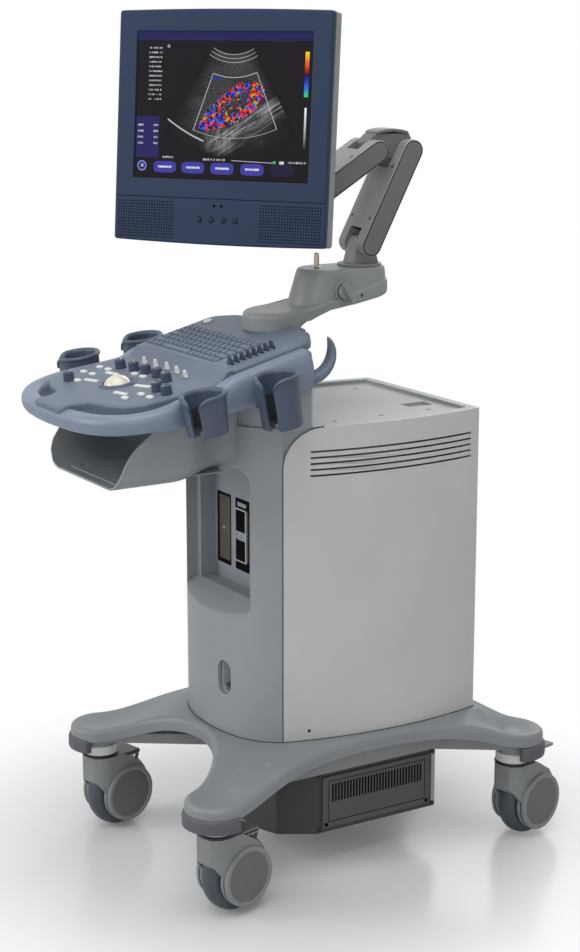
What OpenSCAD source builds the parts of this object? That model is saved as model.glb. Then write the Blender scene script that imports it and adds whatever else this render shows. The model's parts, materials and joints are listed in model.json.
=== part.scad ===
// Cart-mounted ultrasound machine: a base on four swivel casters, an electronics body with a front
// column, a tilted control console, a two-link balanced arm and a flat monitor.
// Millimetres, +Z up, the operator stands on the -Y side, X = 0 is the middle plane,
// and the origin is on the floor at the middle of the overall footprint.

/* [Base] */
// Sideways distance from the middle plane to a caster's swivel axis
swivel_x = 204; // [198:1:210]
// Place of the front swivel axes along Y
swivel_front_y = -249; // [-258:1:-244]
// Place of the rear swivel axes along Y
swivel_rear_y = 338; // [332:1:346]
// Radius of a leg's rounded tip
leg_tip_r = 50; // [47:1:54]
// Height of the base cover's flat top, on which the body stands
base_top_z = 236; // [230:1:242]
// Height of the base cover's top above a swivel axis
leg_tip_z = 192; // [188:1:197]
// Radius around the base's middle inside which the cover is level
base_flat_r = 215; // [205:1:225]
// Height of the cover's edge beside the body
cover_edge = 20; // [16:1:26]
// Height of the cover's edge above a swivel axis
tip_edge = 16; // [13:1:20]
// Skin of the base cover
cover_skin = 3; // [2:0.5:4]
// How far the base cover reaches past the body
base_margin = 15; // [10:1:20]
// Thickness of the bumper round a leg's tip
bumper_t = 4; // [3:0.5:6]
// Height of the bumper
bumper_h = 15; // [12:1:18]
// Half width of the welded tub under the body
tub_half_w = 160; // [150:1:168]
// Front of the tub along Y
tub_front_y = -100; // [-110:1:-90]
// Rear of the tub along Y
tub_rear_y = 250; // [240:1:258]
// Height of the tub's underside
tub_z = 173; // [170:1:178]
// Width of a tube that runs from the tub to a caster
tube_w = 50; // [40:1:56]
// Height of such a tube
tube_h = 18; // [14:1:20]
// Sheet thickness of the welded frame
frame_wall = 3; // [2:0.5:4]

/* [Transformer box] */
// Half width of the box under the base
box_half_w = 140; // [125:1:148]
// Front face of the box along Y
box_front_y = -95; // [-104:1:-86]
// Rear face of the box along Y
box_rear_y = 219; // [205:1:232]
// Height of the box's underside
box_z = 60; // [50:1:80]
// Sheet thickness of the box
box_wall = 2; // [1.5:0.5:3]
// Number of upright slots in the grille plate
grille_slots = 31; // [21:2:37]
// Width of one slot
grille_slot_w = 3; // [2:0.5:3.5]

/* [Casters] */
// Radius of a caster wheel
wheel_r = 62.5; // [58:0.5:65]
// Width of the tyre
tyre_w = 36; // [30:1:38]
// Radius at which the tyre sits on the hub
hub_r = 46; // [40:1:50]
// Distance from the swivel axis back to the wheel's axle
trail = 38; // [32:1:42]
// Overall width of the fork
fork_w = 62; // [58:1:66]
// Radius of the round side discs of the fork
disc_r = 49; // [44:1:52]
// Height of the fork's top
fork_top_z = 137; // [134:1:139]
// Angle of the casters about their swivel axes at rest, in degrees
caster_turn = 13; // [0:1:30]
// Radius of the wheel axle
axle_r = 6; // [5:0.5:7]
// Radius of the swivel stem
stem_r = 6; // [5:0.5:7]
// Length of a brake pedal behind its pin
pedal_l = 54; // [44:1:58]

/* [Body] */
// Height of the body's top rim
body_top_z = 757; // [740:1:770]
// Foremost point of the front column along Y
body_front_y = -149; // [-154:1:-145]
// Radius of the column's front
front_r = 300; // [280:5:340]
// Radius of the column's two front corners
corner_r = 110; // [104:1:114]
// Half width at the seam between column and side panels
seam_x = 143; // [139:1:147]
// Place of that seam along Y
seam_y = -89; // [-94:1:-85]
// Half width of the body at its widest
side_mid_x = 178; // [174:1:182]
// Place of the widest section along Y
side_mid_y = 93; // [85:1:100]
// Half width at the rear corners
rear_x = 163; // [159:1:166]
// Rear face of the body along Y
rear_y = 281; // [272:1:288]
// Wall of the covers
shell = 3; // [2.5:0.5:4]
// Radius of the side panel's upper front corner
panel_corner_r = 65; // [50:1:72]
// Number of vent slots in a side panel
vents = 5; // [3:1:7]
// Height of a vent slot
vent_h = 3.2; // [2:0.2:4]
// Distance from vent slot to vent slot
vent_pitch = 9.75; // [8:0.25:11]
// Height of the top vent slot
vent_top_z = 717; // [705:1:728]
// Front end of the vent slots along Y
vent_front_y = -45; // [-50:1:-10]
// Rear end of the vent slots along Y
vent_rear_y = 262; // [220:1:266]
// Height of the raised rim round the top cover
rim_h = 6; // [4:1:9]
// Width of that rim
rim_w = 14; // [10:1:20]

/* [Front column] */
// Rear face of the neck along Y
neck_rear_y = -43; // [-50:1:-36]
// Half width of the connector window in the column
window_half_w = 108; // [100:1:112]
// Lower edge of that window
window_z = 436; // [425:1:450]
// Upper edge of that window
window_top_z = 690; // [670:1:700]
// Corner radius of that window
window_r = 36; // [20:1:45]
// Depth of the bay's lip behind the column's foremost point
lip_depth = 41; // [36:1:46]
// Depth of the connector panel behind the column's foremost point
bay_depth = 70; // [62:1:80]
// Half width of the bay behind its lip
bay_half_w = 90; // [84:1:98]
// Width of one probe port
port_w = 44; // [36:1:50]
// Height of one probe port
port_h = 118; // [100:1:126]
// Distance from port to port
port_pitch = 60; // [54:1:64]
// Height of the ports' lower edge
port_z = 492; // [485:1:510]
// Sideways place of the accessory pocket
pocket_x = 50; // [40:1:60]
// Height of the middle of the accessory pocket
pocket_z = 331; // [310:1:350]
// Width of the accessory pocket
pocket_w = 32; // [24:1:38]
// Height of the accessory pocket
pocket_h = 58; // [46:1:66]

/* [Console] */
// Place of the trackball's middle along Y
ball_y = -304; // [-308:1:-300]
// Height of the control deck's face at the trackball
ball_z = 827.5; // [824:0.5:831]
// Tilt of the control deck, in degrees
deck_tilt = 8.5; // [8:0.1:9]
// Thickness of the control deck
deck_t = 12; // [10:1:14]
// Depth of the handle frame below the deck's face
frame_depth = 48; // [44:1:52]
// Wall of the handle frame's pan
pan_wall = 6; // [4:0.5:8]
// Half width of the handle at its front corners
handle_half_w = 196; // [192:1:200]
// Half width of the console's side rails
rail_half_w = 179; // [177:1:181]
// Tilt of the keyboard deck, in degrees
key_tilt = 14; // [13:0.2:15]
// Thickness of the keyboard deck
slab_t = 14; // [12:1:16]
// Half width of the keyboard deck
slab_half_w = 150; // [146:1:156]
// Half width of the storage tray
tray_half_w = 128; // [118:1:132]
// Height of the tray's underside
tray_z = 682; // [676:1:692]
// Front edge of the tray along Y
tray_front_y = -367; // [-376:1:-358]
// Wall of the tray
tray_wall = 3.5; // [2.5:0.5:5]

/* [Probe holders] */
// Outer radius of a holder at its rim
cup_r = 35; // [32:0.5:36]
// Outer radius of a holder at its foot
cup_foot_r = 28; // [25:0.5:30]
// Height of a front holder
cup_front_h = 62; // [54:1:70]
// Height of a rear holder
cup_rear_h = 82; // [70:1:92]
// Wall of a holder
cup_wall = 4.5; // [3.5:0.5:5.5]
// Width of the cable slot in a holder's side
cup_slot_w = 22; // [14:1:26]
// Height of a holder's rim above the deck's face
cup_rise = 10; // [6:1:14]

/* [Controls] */
// Radius of the trackball
ball_r = 25; // [22:0.5:27]
// Depth of the trackball's centre below the deck's face
ball_sink = 11; // [9:0.5:13]
// Radius of a rotary knob
knob_r = 9; // [7:0.5:10]
// Height of a rotary knob above the deck
knob_h = 15; // [11:1:18]
// Radius of a knob's shaft
knob_shaft_r = 3; // [2.5:0.5:4]
// Press travel of the deck buttons
press = 1.5; // [1:0.25:2]
// Height of the deck buttons above the deck
button_rise = 2.5; // [2:0.5:4]
// Columns of the keyboard
key_columns = 15; // [12:1:16]
// Rows of the keyboard
key_rows = 6; // [5:1:6]
// Key pitch across the keyboard
key_pitch_x = 15.4; // [14:0.1:15.6]
// Key pitch along the keyboard
key_pitch_y = 14.6; // [13:0.1:15]
// Gap between neighbouring keys
key_gap = 1.8; // [1.4:0.1:2.4]
// Press travel of the keys
key_travel = 2; // [1.5:0.25:2.5]
// Number of gain sliders
sliders = 8; // [6:1:8]
// Travel of a gain slider to either side
slider_travel = 9; // [6:0.5:10]

/* [Arm] */
// Place of the arm's swivel axis along Y
arm_y = -16; // [-19:1:-13]
// Height of the arm foot's underside
arm_z = 889; // [887:0.5:891]
// Radius of the arm's round foot
foot_r = 53; // [50:1:55]
// Radius of the arm's swivel post
post_r = 15; // [12:0.5:18]
// Place of the turret's axis along Y
turret_y = 148; // [142:1:154]
// Height of the arm base's top under the turret
turret_z = 985; // [980:1:990]
// Radius of the turret disc
turret_r = 38; // [34:1:41]
// Turn of both links about the turret at rest, in degrees
link_turn = -8; // [-12:1:0]
// Half width of a link
link_half_w = 46; // [42:1:48]
// Radius of a link's rounded ends
link_r = 18; // [17:0.5:19]
// Length of the lower link between its pivots
lower_l = 170; // [162:1:178]
// Lean of the lower link back from upright at rest, in degrees
lower_lean = 26; // [20:1:32]
// Distance between the two pivots of the elbow block
elbow_l = 62; // [58:1:68]
// Length of the upper link between its pivots
upper_l = 187; // [180:1:196]
// Fall of the upper link below level at rest, in degrees
upper_fall = 33; // [28:1:35]
// Height of the lower link's lower pivot
pivot_z = 1020; // [1017:1:1025]
// Radius of the link pins
pin_r = 6; // [5:0.5:7]
// Half width of the tongues inside the links' slots
tongue_half_w = 20; // [16:1:24]
// Distance from the upper link's end pivot to the monitor's swivel axis
wrist_l = 36; // [34:1:40]

/* [Monitor] */
// Sideways place of the screen's middle
screen_x = 20; // [16:1:24]
// Place of the screen's middle along Y
screen_y = -125; // [-129:1:-121]
// Height of the screen's middle
screen_z = 1251; // [1246:1:1256]
// Turn of the monitor towards +X at rest, in degrees
screen_turn = 33.7; // [30:0.1:36]
// Tilt of the monitor upwards at rest, in degrees
screen_tilt = 5.6; // [4:0.1:7]
// Visible width of the screen
screen_w = 304; // [296:1:310]
// Visible height of the screen
screen_h = 228; // [222:1:232]
// Half width of the monitor
bezel_half_w = 184; // [178:1:190]
// Top of the bezel above the screen's middle
bezel_up = 147; // [138:1:152]
// Bottom of the bezel below the screen's middle
bezel_down = 212; // [205:1:218]
// Depth of the bezel
bezel_d = 20; // [16:1:24]
// Depth of the rear case behind the bezel
case_d = 34; // [28:1:38]
// Corner radius of the monitor
bezel_r = 14; // [8:1:20]

/* [Fits] */
// Radial clearance of turning pins and shafts
run_fit = 0.05; // [0.03:0.01:0.08]
// Clearance of sliding keys and buttons
slide_fit = 0.4; // [0.3:0.05:0.5]
// Clearance between pieces of different bodies that pass each other
pass_gap = 0.4; // [0.35:0.05:0.6]

/* [Hidden] */
$fn = 72;
eps = 0.01;
big = 2000;

// Base: the four tips lie at one distance from the base's middle
base_mid_y = (swivel_front_y + swivel_rear_y) / 2;
tip_dy = (swivel_rear_y - swivel_front_y) / 2;
leg_reach = norm([swivel_x, tip_dy]);
tips = [for (sy = [-1, 1], sx = [-1, 1]) [sx * swivel_x, base_mid_y + sy * tip_dy]];

// Radius of the hollow arc between two legs that touches both tip circles and passes through the
// apex; along is half the distance between the tips, beyond how far they lie outside the apex
function gap_r(along, beyond) =
    (along * along + beyond * beyond - leg_tip_r * leg_tip_r) / (2 * (leg_tip_r + beyond));
front_gap_y = body_front_y - base_margin;
rear_gap_y = rear_y + base_margin;
side_gap_x = side_mid_x + base_margin;
front_gap_r = gap_r(swivel_x, front_gap_y - swivel_front_y);
rear_gap_r = gap_r(swivel_x, swivel_rear_y - rear_gap_y);
side_gap_r = gap_r(tip_dy, swivel_x - side_gap_x);
gap_circles = [
    [0, front_gap_y - front_gap_r, front_gap_r],
    [side_gap_x + side_gap_r, base_mid_y, side_gap_r],
    [0, rear_gap_y + rear_gap_r, rear_gap_r],
    [-side_gap_x - side_gap_r, base_mid_y, side_gap_r]
];
// The hollow arcs cut a hair into the tip circles, so that the two cross rather than touch
gap_bite = 0.1;
tube_z = tub_z - 7;
boss_r = 28;
boss_top_z = tube_z + 10;
bumper_z = leg_tip_z - tip_edge - 14;
box_top_z = tube_z;
box_nose_half_w = 60;
box_cheek = [box_half_w - 35, box_front_y + 17];
box_corner_y = box_front_y + 74;

// Casters
cheek_gap = 2.5;
hood_gap = 3;
skirt_z = 96;
stem_end_z = 118.5;
stem_gap = 0.4;
pedal_pin = [boss_r + 12, fork_top_z + 8];
lug_root = [boss_r - 2, fork_top_z - 8];
pedal_pin_r = 2.5;
pedal_hub_r = 5;
pedal_half_w = 14;
lug_t = 4;
lug_gap = 0.5;

// Circle through three points, as [x, y, radius]
function circle3(a, b, c) =
    let (d = 2 * (a.x * (b.y - c.y) + b.x * (c.y - a.y) + c.x * (a.y - b.y)),
         x = (a * a * (b.y - c.y) + b * b * (c.y - a.y) + c * c * (a.y - b.y)) / d,
         y = (a * a * (c.x - b.x) + b * b * (a.x - c.x) + c * c * (b.x - a.x)) / d)
    [x, y, norm(a - [x, y])];
front_arc = [0, body_front_y + front_r, front_r];
// Corner circles touch the front circle from inside and pass through the seams
corner_turn = let (d = front_r - corner_r, e = [seam_x, front_arc.y - seam_y])
    atan2(e.x, e.y) - acos((d * d + e * e - corner_r * corner_r) / (2 * d * norm(e)));
corner_at = [(front_r - corner_r) * sin(corner_turn),
             front_arc.y - (front_r - corner_r) * cos(corner_turn)];
side_arc = circle3([seam_x, seam_y], [side_mid_x, side_mid_y], [rear_x, rear_y]);
seam_gap = 0.5;
neck_inset = shell + 0.6;
neck_low_z = body_top_z - 2 * panel_corner_r;
lock_r = 3;
lock_y = -46;
lock_z = base_top_z + 16;
top_t = 12;

// Console frames: the deck frame's origin is the trackball's middle on the deck's face, and the
// keyboard frame's origin is the front edge of the keyboard deck on the middle plane
key_y = -189;
key_z = 859;
function deck_v(y) = (y - ball_y) / cos(deck_tilt);
deck_rear_v = deck_v(key_y) - 1;
deck_half_w = slab_half_w + 2;

// Controls: [x, v] on the control deck
knob_spots = [[-95, -38], [-87, 51], [-51, 57], [-16, 60], [22, 60], [61, 55], [100, 18], [130, 18]];
toggle_spots = [[-71, 87], [-39, 90], [-4, 92], [34, 89], [70, 84]];
oval_spots = [[-123, 31], [-95, 32], [-121, 1], [-92, 2], [-79, -31], [-27, 45], [2, 45],
              [96, -8], [124, -8], [92, -34]];
bar_spots = [[-56, -18, 12], [-63, 23, 8], [56, 16, 18], [62, -26, 10]];
oval_size = [17, 10];
bar_size = [34, 8];
key_field = [key_columns * key_pitch_x, key_rows * key_pitch_y];
key_left = -148;
key_front = 14;
web_t = 2;
web_sink = 6;
key_top = 1.5;
slider_x = 118;
slider_front = 22;
slider_pitch = 11;

// Arm: pivots in the links' own frame, as [y, z] with the links pointing straight ahead
lower_pivot = [turret_y + 1, pivot_z];
elbow_rear = lower_pivot + lower_l * [sin(lower_lean), cos(lower_lean)];
elbow_front = elbow_rear - [elbow_l, 0];
upper_end = elbow_front - upper_l * [cos(upper_fall), sin(upper_fall)];
swivel_axis_y = upper_end.x - wrist_l;
yoke_z = upper_end.y + 23;
swivel_pin_r = 8;
tilt_pin_r = 5;
tilt_drop = 112;
tilt_back = bezel_d + case_d + 15;

// Monitor
lcd_margin = 4;
lcd_sink = 3;
mon_button_r = 4;
mon_button_pitch = 21;
mon_button_z = -176;

// Shared shapes

// Profile with its x along Y and its y along Z, drawn out to both sides of X = 0
module along_x(w) {
    translate([-w / 2, 0, 0]) rotate([90, 0, 90]) linear_extrude(w) children();
}

// Profile with its x along X and its y along Z, drawn out from y0 to y1
module along_y(y0, y1) {
    translate([0, y1, 0]) rotate([90, 0, 0]) linear_extrude(y1 - y0) children();
}

module box(x0, x1, y0, y1, z0, z1) {
    translate([x0, y0, z0]) cube([x1 - x0, y1 - y0, z1 - z0]);
}

module rounded_rect(w, h, r) {
    square([w - 2 * r, h], center = true);
    square([w, h - 2 * r], center = true);
    for (sx = [-1, 1], sy = [-1, 1])
        translate([sx * (w / 2 - r), sy * (h / 2 - r)]) circle(r = r);
}

// Bar with round ends between two points
module link2d(a, b, r) {
    d = b - a;
    translate(a) rotate(atan2(d.y, d.x)) {
        circle(r = r);
        translate([norm(d), 0]) circle(r = r);
        translate([0, -r]) square([norm(d), 2 * r]);
    }
}

// Base

function toward(t, c) = t + leg_tip_r * ([c.x, c.y] - t) / norm([c.x, c.y] - t);

// Plan of the base cover: four round tips joined by hollow arcs
module base_plan(inset = 0) {
    difference() {
        union() {
            polygon([
                toward(tips[0], gap_circles[0]), toward(tips[1], gap_circles[0]), tips[1],
                toward(tips[1], gap_circles[1]), toward(tips[3], gap_circles[1]), tips[3],
                toward(tips[3], gap_circles[2]), toward(tips[2], gap_circles[2]), tips[2],
                toward(tips[2], gap_circles[3]), toward(tips[0], gap_circles[3]), tips[0]
            ]);
            for (t = tips) translate(t) circle(r = leg_tip_r - inset);
        }
        for (c = gap_circles) translate([c.x, c.y]) circle(r = c.z + inset + gap_bite, $fn = 144);
    }
}

// Solid under a roof that is level over the middle and falls in a cone to the tips
module leg_roof(top_z, tip_z) {
    fall = (top_z - tip_z) / (leg_reach - base_flat_r);
    translate([0, base_mid_y, 0])
        cylinder(h = top_z, r1 = base_flat_r + top_z / fall, r2 = base_flat_r, $fn = 144);
}

module base_cover() {
    color([0.58, 0.60, 0.62]) difference() {
        union() {
            intersection() {
                linear_extrude(base_top_z) base_plan();
                leg_roof(base_top_z, leg_tip_z);
            }
            // Level seat that carries the body out to its rear corners
            translate([0, 0, leg_tip_z]) linear_extrude(base_top_z - leg_tip_z) body_plan();
        }
        leg_roof(base_top_z - cover_edge, leg_tip_z - tip_edge);
        intersection() {
            linear_extrude(base_top_z) base_plan(cover_skin);
            leg_roof(base_top_z - cover_skin, leg_tip_z - cover_skin);
        }
    }
}

module base_frame() {
    tub_top_z = base_top_z - cover_skin;
    color([0.72, 0.73, 0.73]) {
        difference() {
            intersection() {
                box(-tub_half_w, tub_half_w, tub_front_y, tub_rear_y, tub_z, tub_top_z);
                leg_roof(tub_top_z, leg_tip_z - cover_skin);
            }
            box(-tub_half_w + frame_wall, tub_half_w - frame_wall, tub_front_y + frame_wall,
                tub_rear_y - frame_wall, tub_z + frame_wall, tub_top_z + 1);
        }
        for (t = tips) {
            difference() {
                frame_tube(t, 0);
                frame_tube(t, frame_wall);
            }
            translate([t.x, t.y, fork_top_z + stem_gap])
                cylinder(h = boss_top_z - fork_top_z - stem_gap, r = boss_r);
            translate([t.x, t.y, stem_end_z])
                cylinder(h = fork_top_z + stem_gap - stem_end_z + 1, r = stem_r);
        }
    }
}

// Tube from under the tub to a caster, or its hollow when inset is given
module frame_tube(t, inset) {
    root = 100;
    a = atan2(t.y - base_mid_y, t.x);
    translate([0, base_mid_y, 0]) rotate(a)
        box(root, leg_reach - inset * boss_r / frame_wall, -tube_w / 2 + inset, tube_w / 2 - inset,
            tube_z + inset, tube_z + tube_h - inset);
}

module leg_bumpers() {
    color([0.36, 0.36, 0.39]) for (t = tips) translate([t.x, t.y, bumper_z])
        rotate(atan2(t.y - base_mid_y, t.x)) difference() {
            cylinder(h = bumper_h, r = leg_tip_r + bumper_t);
            translate([0, 0, -1]) cylinder(h = bumper_h + 2, r = leg_tip_r);
            box(-big, leg_tip_r / 4, -big, big, -1, bumper_h + 1);
        }
}

// Plan of the box under the base, with its cut front corners
module box_plan(inset = 0) {
    half = [
        [box_nose_half_w, box_front_y + inset],
        [box_cheek.x - inset, box_cheek.y + inset / 2],
        [box_half_w - inset, box_corner_y],
        [box_half_w - inset, box_rear_y - inset]
    ];
    polygon(concat(half, [for (i = [len(half) - 1 : -1 : 0]) [-half[i].x, half[i].y]]));
}

grille_front_y = box_corner_y + 10;
grille_rear_y = box_rear_y - 12;
grille_z = box_z + 8;
grille_top_z = box_top_z - 8;
grille_t = 3;

module transformer_box() {
    core = [150, 130, 70];
    color([0.34, 0.35, 0.35]) {
        difference() {
            translate([0, 0, box_z]) linear_extrude(box_top_z - box_z) box_plan();
            translate([0, 0, box_z + box_wall])
                linear_extrude(box_top_z - box_z - 2 * box_wall) box_plan(box_wall);
            box(box_half_w - box_wall - 1, box_half_w + 1, grille_front_y + 8, grille_rear_y - 8,
                grille_z + 8, grille_top_z - 6);
        }
        translate([-core.x / 2, 0, box_z + box_wall]) cube(core);
    }
}

module box_grille() {
    slot_z = grille_top_z - 46;
    slot_pitch = (grille_rear_y - grille_front_y - 36) / grille_slots;
    color([0.38, 0.39, 0.39]) difference() {
        box(box_half_w, box_half_w + grille_t, grille_front_y, grille_rear_y, grille_z, grille_top_z);
        for (i = [0 : grille_slots - 1])
            translate([box_half_w - 1, grille_front_y + 18 + (i + 0.5) * slot_pitch - grille_slot_w / 2,
                       slot_z])
                cube([grille_t + 2, grille_slot_w, 30]);
    }
}

screw_r = 4;
screw_sink = 2;
top_screws = [for (s = [-1, 1], y = [30, 120, 215]) [s * 110, y]];

module cover_screws() {
    color([0.08, 0.08, 0.09]) {
        for (y = [box_corner_y + 5, box_rear_y - 6], z = [box_z + 6, box_top_z - 6])
            translate([box_half_w, y, z]) rotate([0, 90, 0]) cylinder(h = 3, r = screw_r);
        for (s = [-1, 1])
            translate([s * (side_x(lock_y) - shell), lock_y, lock_z]) rotate([0, s * 90, 0])
                cylinder(h = shell - 0.5, r = lock_r);
        for (p = top_screws)
            translate([p.x, p.y, body_top_z - rim_h - screw_sink]) cylinder(h = 1.5, r = screw_r);
    }
}

// Casters, each in its own frame: swivel axis on Z, wheel axle along X behind it
module caster_place(i) {
    translate([tips[i].x, tips[i].y, 0]) rotate(caster_turn) children();
}

module fork_side() {
    translate([trail, wheel_r]) circle(r = disc_r);
    polygon([
        [-boss_r, fork_top_z], [-boss_r, skirt_z], [trail - disc_r + 1, wheel_r + 10],
        [trail, wheel_r], [trail + 0.8 * disc_r, wheel_r + 0.6 * disc_r],
        [trail + 0.5 * disc_r, fork_top_z - 22], [boss_r + 10, fork_top_z - 6], [boss_r, fork_top_z]
    ]);
}

module caster_fork(i, pedal) {
    color([0.55, 0.57, 0.57]) caster_place(i) {
        difference() {
            union() {
                intersection() {
                    along_x(fork_w) fork_side();
                    linear_extrude(big) {
                        circle(r = fork_w / 2);
                        translate([-fork_w / 2, 0]) square([fork_w, big]);
                    }
                }
                if (pedal)
                    for (s = [-1, 1])
                        translate([s * (pedal_half_w + lug_gap + lug_t / 2), 0, 0]) along_x(lug_t)
                            link2d(lug_root, pedal_pin, pedal_hub_r);
            }
            translate([0, trail, wheel_r]) rotate([0, 90, 0])
                cylinder(h = tyre_w + 2 * cheek_gap, r = wheel_r + hood_gap, center = true, $fn = 96);
            translate([0, trail, wheel_r]) rotate([0, 90, 0])
                cylinder(h = big, r = axle_r + run_fit, center = true);
            translate([0, 0, skirt_z]) cylinder(h = big, r = stem_r + run_fit);
        }
        translate([0, trail, wheel_r]) rotate([0, 90, 0])
            cylinder(h = fork_w - 4, r = axle_r, center = true);
        if (pedal)
            translate([0, pedal_pin.x, pedal_pin.y]) rotate([0, 90, 0])
                cylinder(h = 2 * (pedal_half_w + lug_gap + lug_t), r = pedal_pin_r, center = true);
    }
}

module caster_wheel(i) {
    crown_r = 28;
    color([0.24, 0.27, 0.30]) caster_place(i) translate([0, trail, wheel_r]) rotate([0, 90, 0]) {
        rotate_extrude($fn = 96) intersection() {
            translate([hub_r + run_fit, -tyre_w / 2]) square([wheel_r, tyre_w]);
            translate([wheel_r - crown_r, 0]) circle(r = crown_r);
        }
        difference() {
            cylinder(h = tyre_w, r = hub_r, center = true);
            cylinder(h = tyre_w + 2, r = axle_r + run_fit, center = true);
        }
    }
}

module brake_pedal(i) {
    pad_t = 5;
    color([0.45, 0.47, 0.48]) caster_place(i) difference() {
        along_x(2 * pedal_half_w) {
            translate(pedal_pin) circle(r = pedal_hub_r);
            translate(pedal_pin) square([pedal_l, pad_t]);
        }
        translate([0, pedal_pin.x, pedal_pin.y]) rotate([0, 90, 0])
            cylinder(h = big, r = pedal_pin_r + run_fit, center = true);
    }
}

// Body

// Half width of the body behind the seam at one place along Y
function side_x(y) = side_arc.x + sqrt(side_arc.z * side_arc.z - pow(y - side_arc.y, 2));

// Front of the body's plan: a shallow arc between two corner circles
module front_plan(inset) {
    reach = (front_r - inset) * sin(corner_turn);
    intersection() {
        translate([front_arc.x, front_arc.y]) circle(r = front_r - inset, $fn = 288);
        translate([-reach, body_front_y - 1]) square([2 * reach, seam_y - body_front_y + 1]);
    }
    for (s = [-1, 1]) translate([s * corner_at.x, corner_at.y]) circle(r = corner_r - inset, $fn = 144);
}

// Plan of the body: a front, two side arcs and a flat rear
module body_plan(inset = 0) {
    intersection() {
        translate([side_arc.x, side_arc.y]) circle(r = side_arc.z - inset, $fn = 288);
        translate([-side_arc.x, side_arc.y]) circle(r = side_arc.z - inset, $fn = 288);
        translate([-big / 2, body_front_y - 1])
            square([big, rear_y - inset - body_front_y + 1]);
        union() {
            front_plan(inset);
            translate([-big / 2, seam_y]) square([big, big]);
        }
    }
}

// Slice of the body's plan between two places along Y, drawn up between two heights
module body_slice(inset, y0, y1, z0, z1) {
    translate([0, 0, z0]) linear_extrude(z1 - z0) intersection() {
        body_plan(inset);
        translate([-big / 2, y0]) square([big, y1 - y0]);
    }
}

module window2d(inset) {
    translate([0, (window_z + window_top_z) / 2])
        rounded_rect(2 * (window_half_w - inset), window_top_z - window_z - 2 * inset, window_r - inset);
}

module pocket2d(inset) {
    reach = pocket_h / 2 - pocket_w / 2;
    translate([pocket_x, pocket_z])
        link2d([0, -reach], [0, reach], pocket_w / 2 - inset);
}

// Everything below the console's underside
module under_console() {
    on_deck() box(-big, big, -big, big, -big, -frame_depth);
}

module front_column() {
    color([0.57, 0.60, 0.64]) difference() {
        intersection() {
            union() {
                body_slice(0, body_front_y - 1, seam_y, base_top_z, body_top_z);
                body_slice(neck_inset, body_front_y - 1, neck_rear_y, neck_low_z, key_z);
            }
            under_console();
        }
        difference() {
            body_slice(shell + neck_inset, body_front_y - 1, big, 0, big);
            body_slice(shell, seam_y - shell, seam_y, 0, neck_low_z);
        }
        along_y(-big, seam_y) window2d(0);
        along_y(-big, seam_y) pocket2d(0);
    }
}

module neck_cover() {
    color([0.66, 0.68, 0.69]) intersection() {
        body_slice(neck_inset, neck_rear_y, neck_rear_y + shell, body_top_z - top_t, key_z);
        under_console();
    }
}

bay_front_y = body_front_y + lip_depth;
bay_rear_y = body_front_y + bay_depth;

module connector_bay() {
    floor_rise = 26;
    color([0.50, 0.53, 0.57]) difference() {
        intersection() {
            along_y(body_front_y - 1, bay_rear_y + shell) window2d(0);
            body_slice(0, body_front_y - 1, bay_rear_y + shell, 0, big);
        }
        along_x(2 * (window_half_w - shell)) polygon([
            [body_front_y - 1, window_z + shell], [bay_front_y, window_z + shell + floor_rise],
            [bay_front_y, window_top_z - shell], [body_front_y - 1, window_top_z - shell]
        ]);
        box(-bay_half_w, bay_half_w, bay_front_y - eps, bay_rear_y,
            window_z + shell + floor_rise, window_top_z - shell);
    }
}

// Two open probe sockets, a blank plate over the third port, and the accessory socket below
module front_ports() {
    frame_t = 6;
    rim = 4;
    jack_r = 5;
    pocket_back_y = body_front_y + 26;
    color([0.30, 0.29, 0.28]) {
        for (k = [0, 1]) translate([k * port_pitch, bay_rear_y, port_z]) difference() {
            box(-port_w / 2, port_w / 2, -frame_t, 0, 0, port_h);
            box(-port_w / 2 + rim, port_w / 2 - rim, -frame_t - 1, -frame_t + 4, rim, port_h - rim);
        }
        translate([-port_pitch, bay_rear_y, port_z]) {
            box(-port_w / 2, port_w / 2, -frame_t, 0, 0, port_h);
            translate([0, -frame_t, port_h - 14]) rotate([90, 0, 0]) cylinder(h = 3, r = 3);
        }
        difference() {
            along_y(pocket_back_y - 18, pocket_back_y + 4) pocket2d(0);
            along_y(-big, pocket_back_y) pocket2d(3);
            translate([0, -shell, 0]) difference() {
                box(-big, big, -big, seam_y, 0, window_z);
                body_slice(0, body_front_y - 1, seam_y, -1, window_z + 1);
            }
        }
        translate([pocket_x, pocket_back_y, pocket_z - pocket_h / 4]) rotate([90, 0, 0])
            cylinder(h = 8, r = jack_r);
    }
}

// Outline of a side panel seen from the side, with its round upper front corner
module panel_side() {
    y0 = seam_y + seam_gap;
    c = [y0 + panel_corner_r, body_top_z - panel_corner_r];
    translate([y0, base_top_z]) square([rear_y - y0, c.y - base_top_z]);
    translate([c.x, base_top_z]) square([rear_y - c.x, body_top_z - base_top_z]);
    translate(c) circle(r = panel_corner_r);
}

module side_panel(s) {
    color([0.75, 0.75, 0.74]) mirror([s < 0 ? 1 : 0, 0, 0]) difference() {
        intersection() {
            difference() {
                body_slice(0, seam_y, rear_y - shell, base_top_z, body_top_z);
                body_slice(shell, seam_y - 1, rear_y, base_top_z - 1, body_top_z + 1);
            }
            box(shell, big, seam_y, rear_y, 0, big);
            along_x(big) panel_side();
        }
        translate([seam_x - 20, lock_y, lock_z]) rotate([0, 90, 0])
            cylinder(h = big, r = lock_r + 2 * run_fit);
        for (k = [0 : vents - 1])
            box(seam_x - 20, big, vent_front_y, vent_rear_y, vent_top_z - k * vent_pitch - vent_h / 2,
                vent_top_z - k * vent_pitch + vent_h / 2);
    }
}

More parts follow.
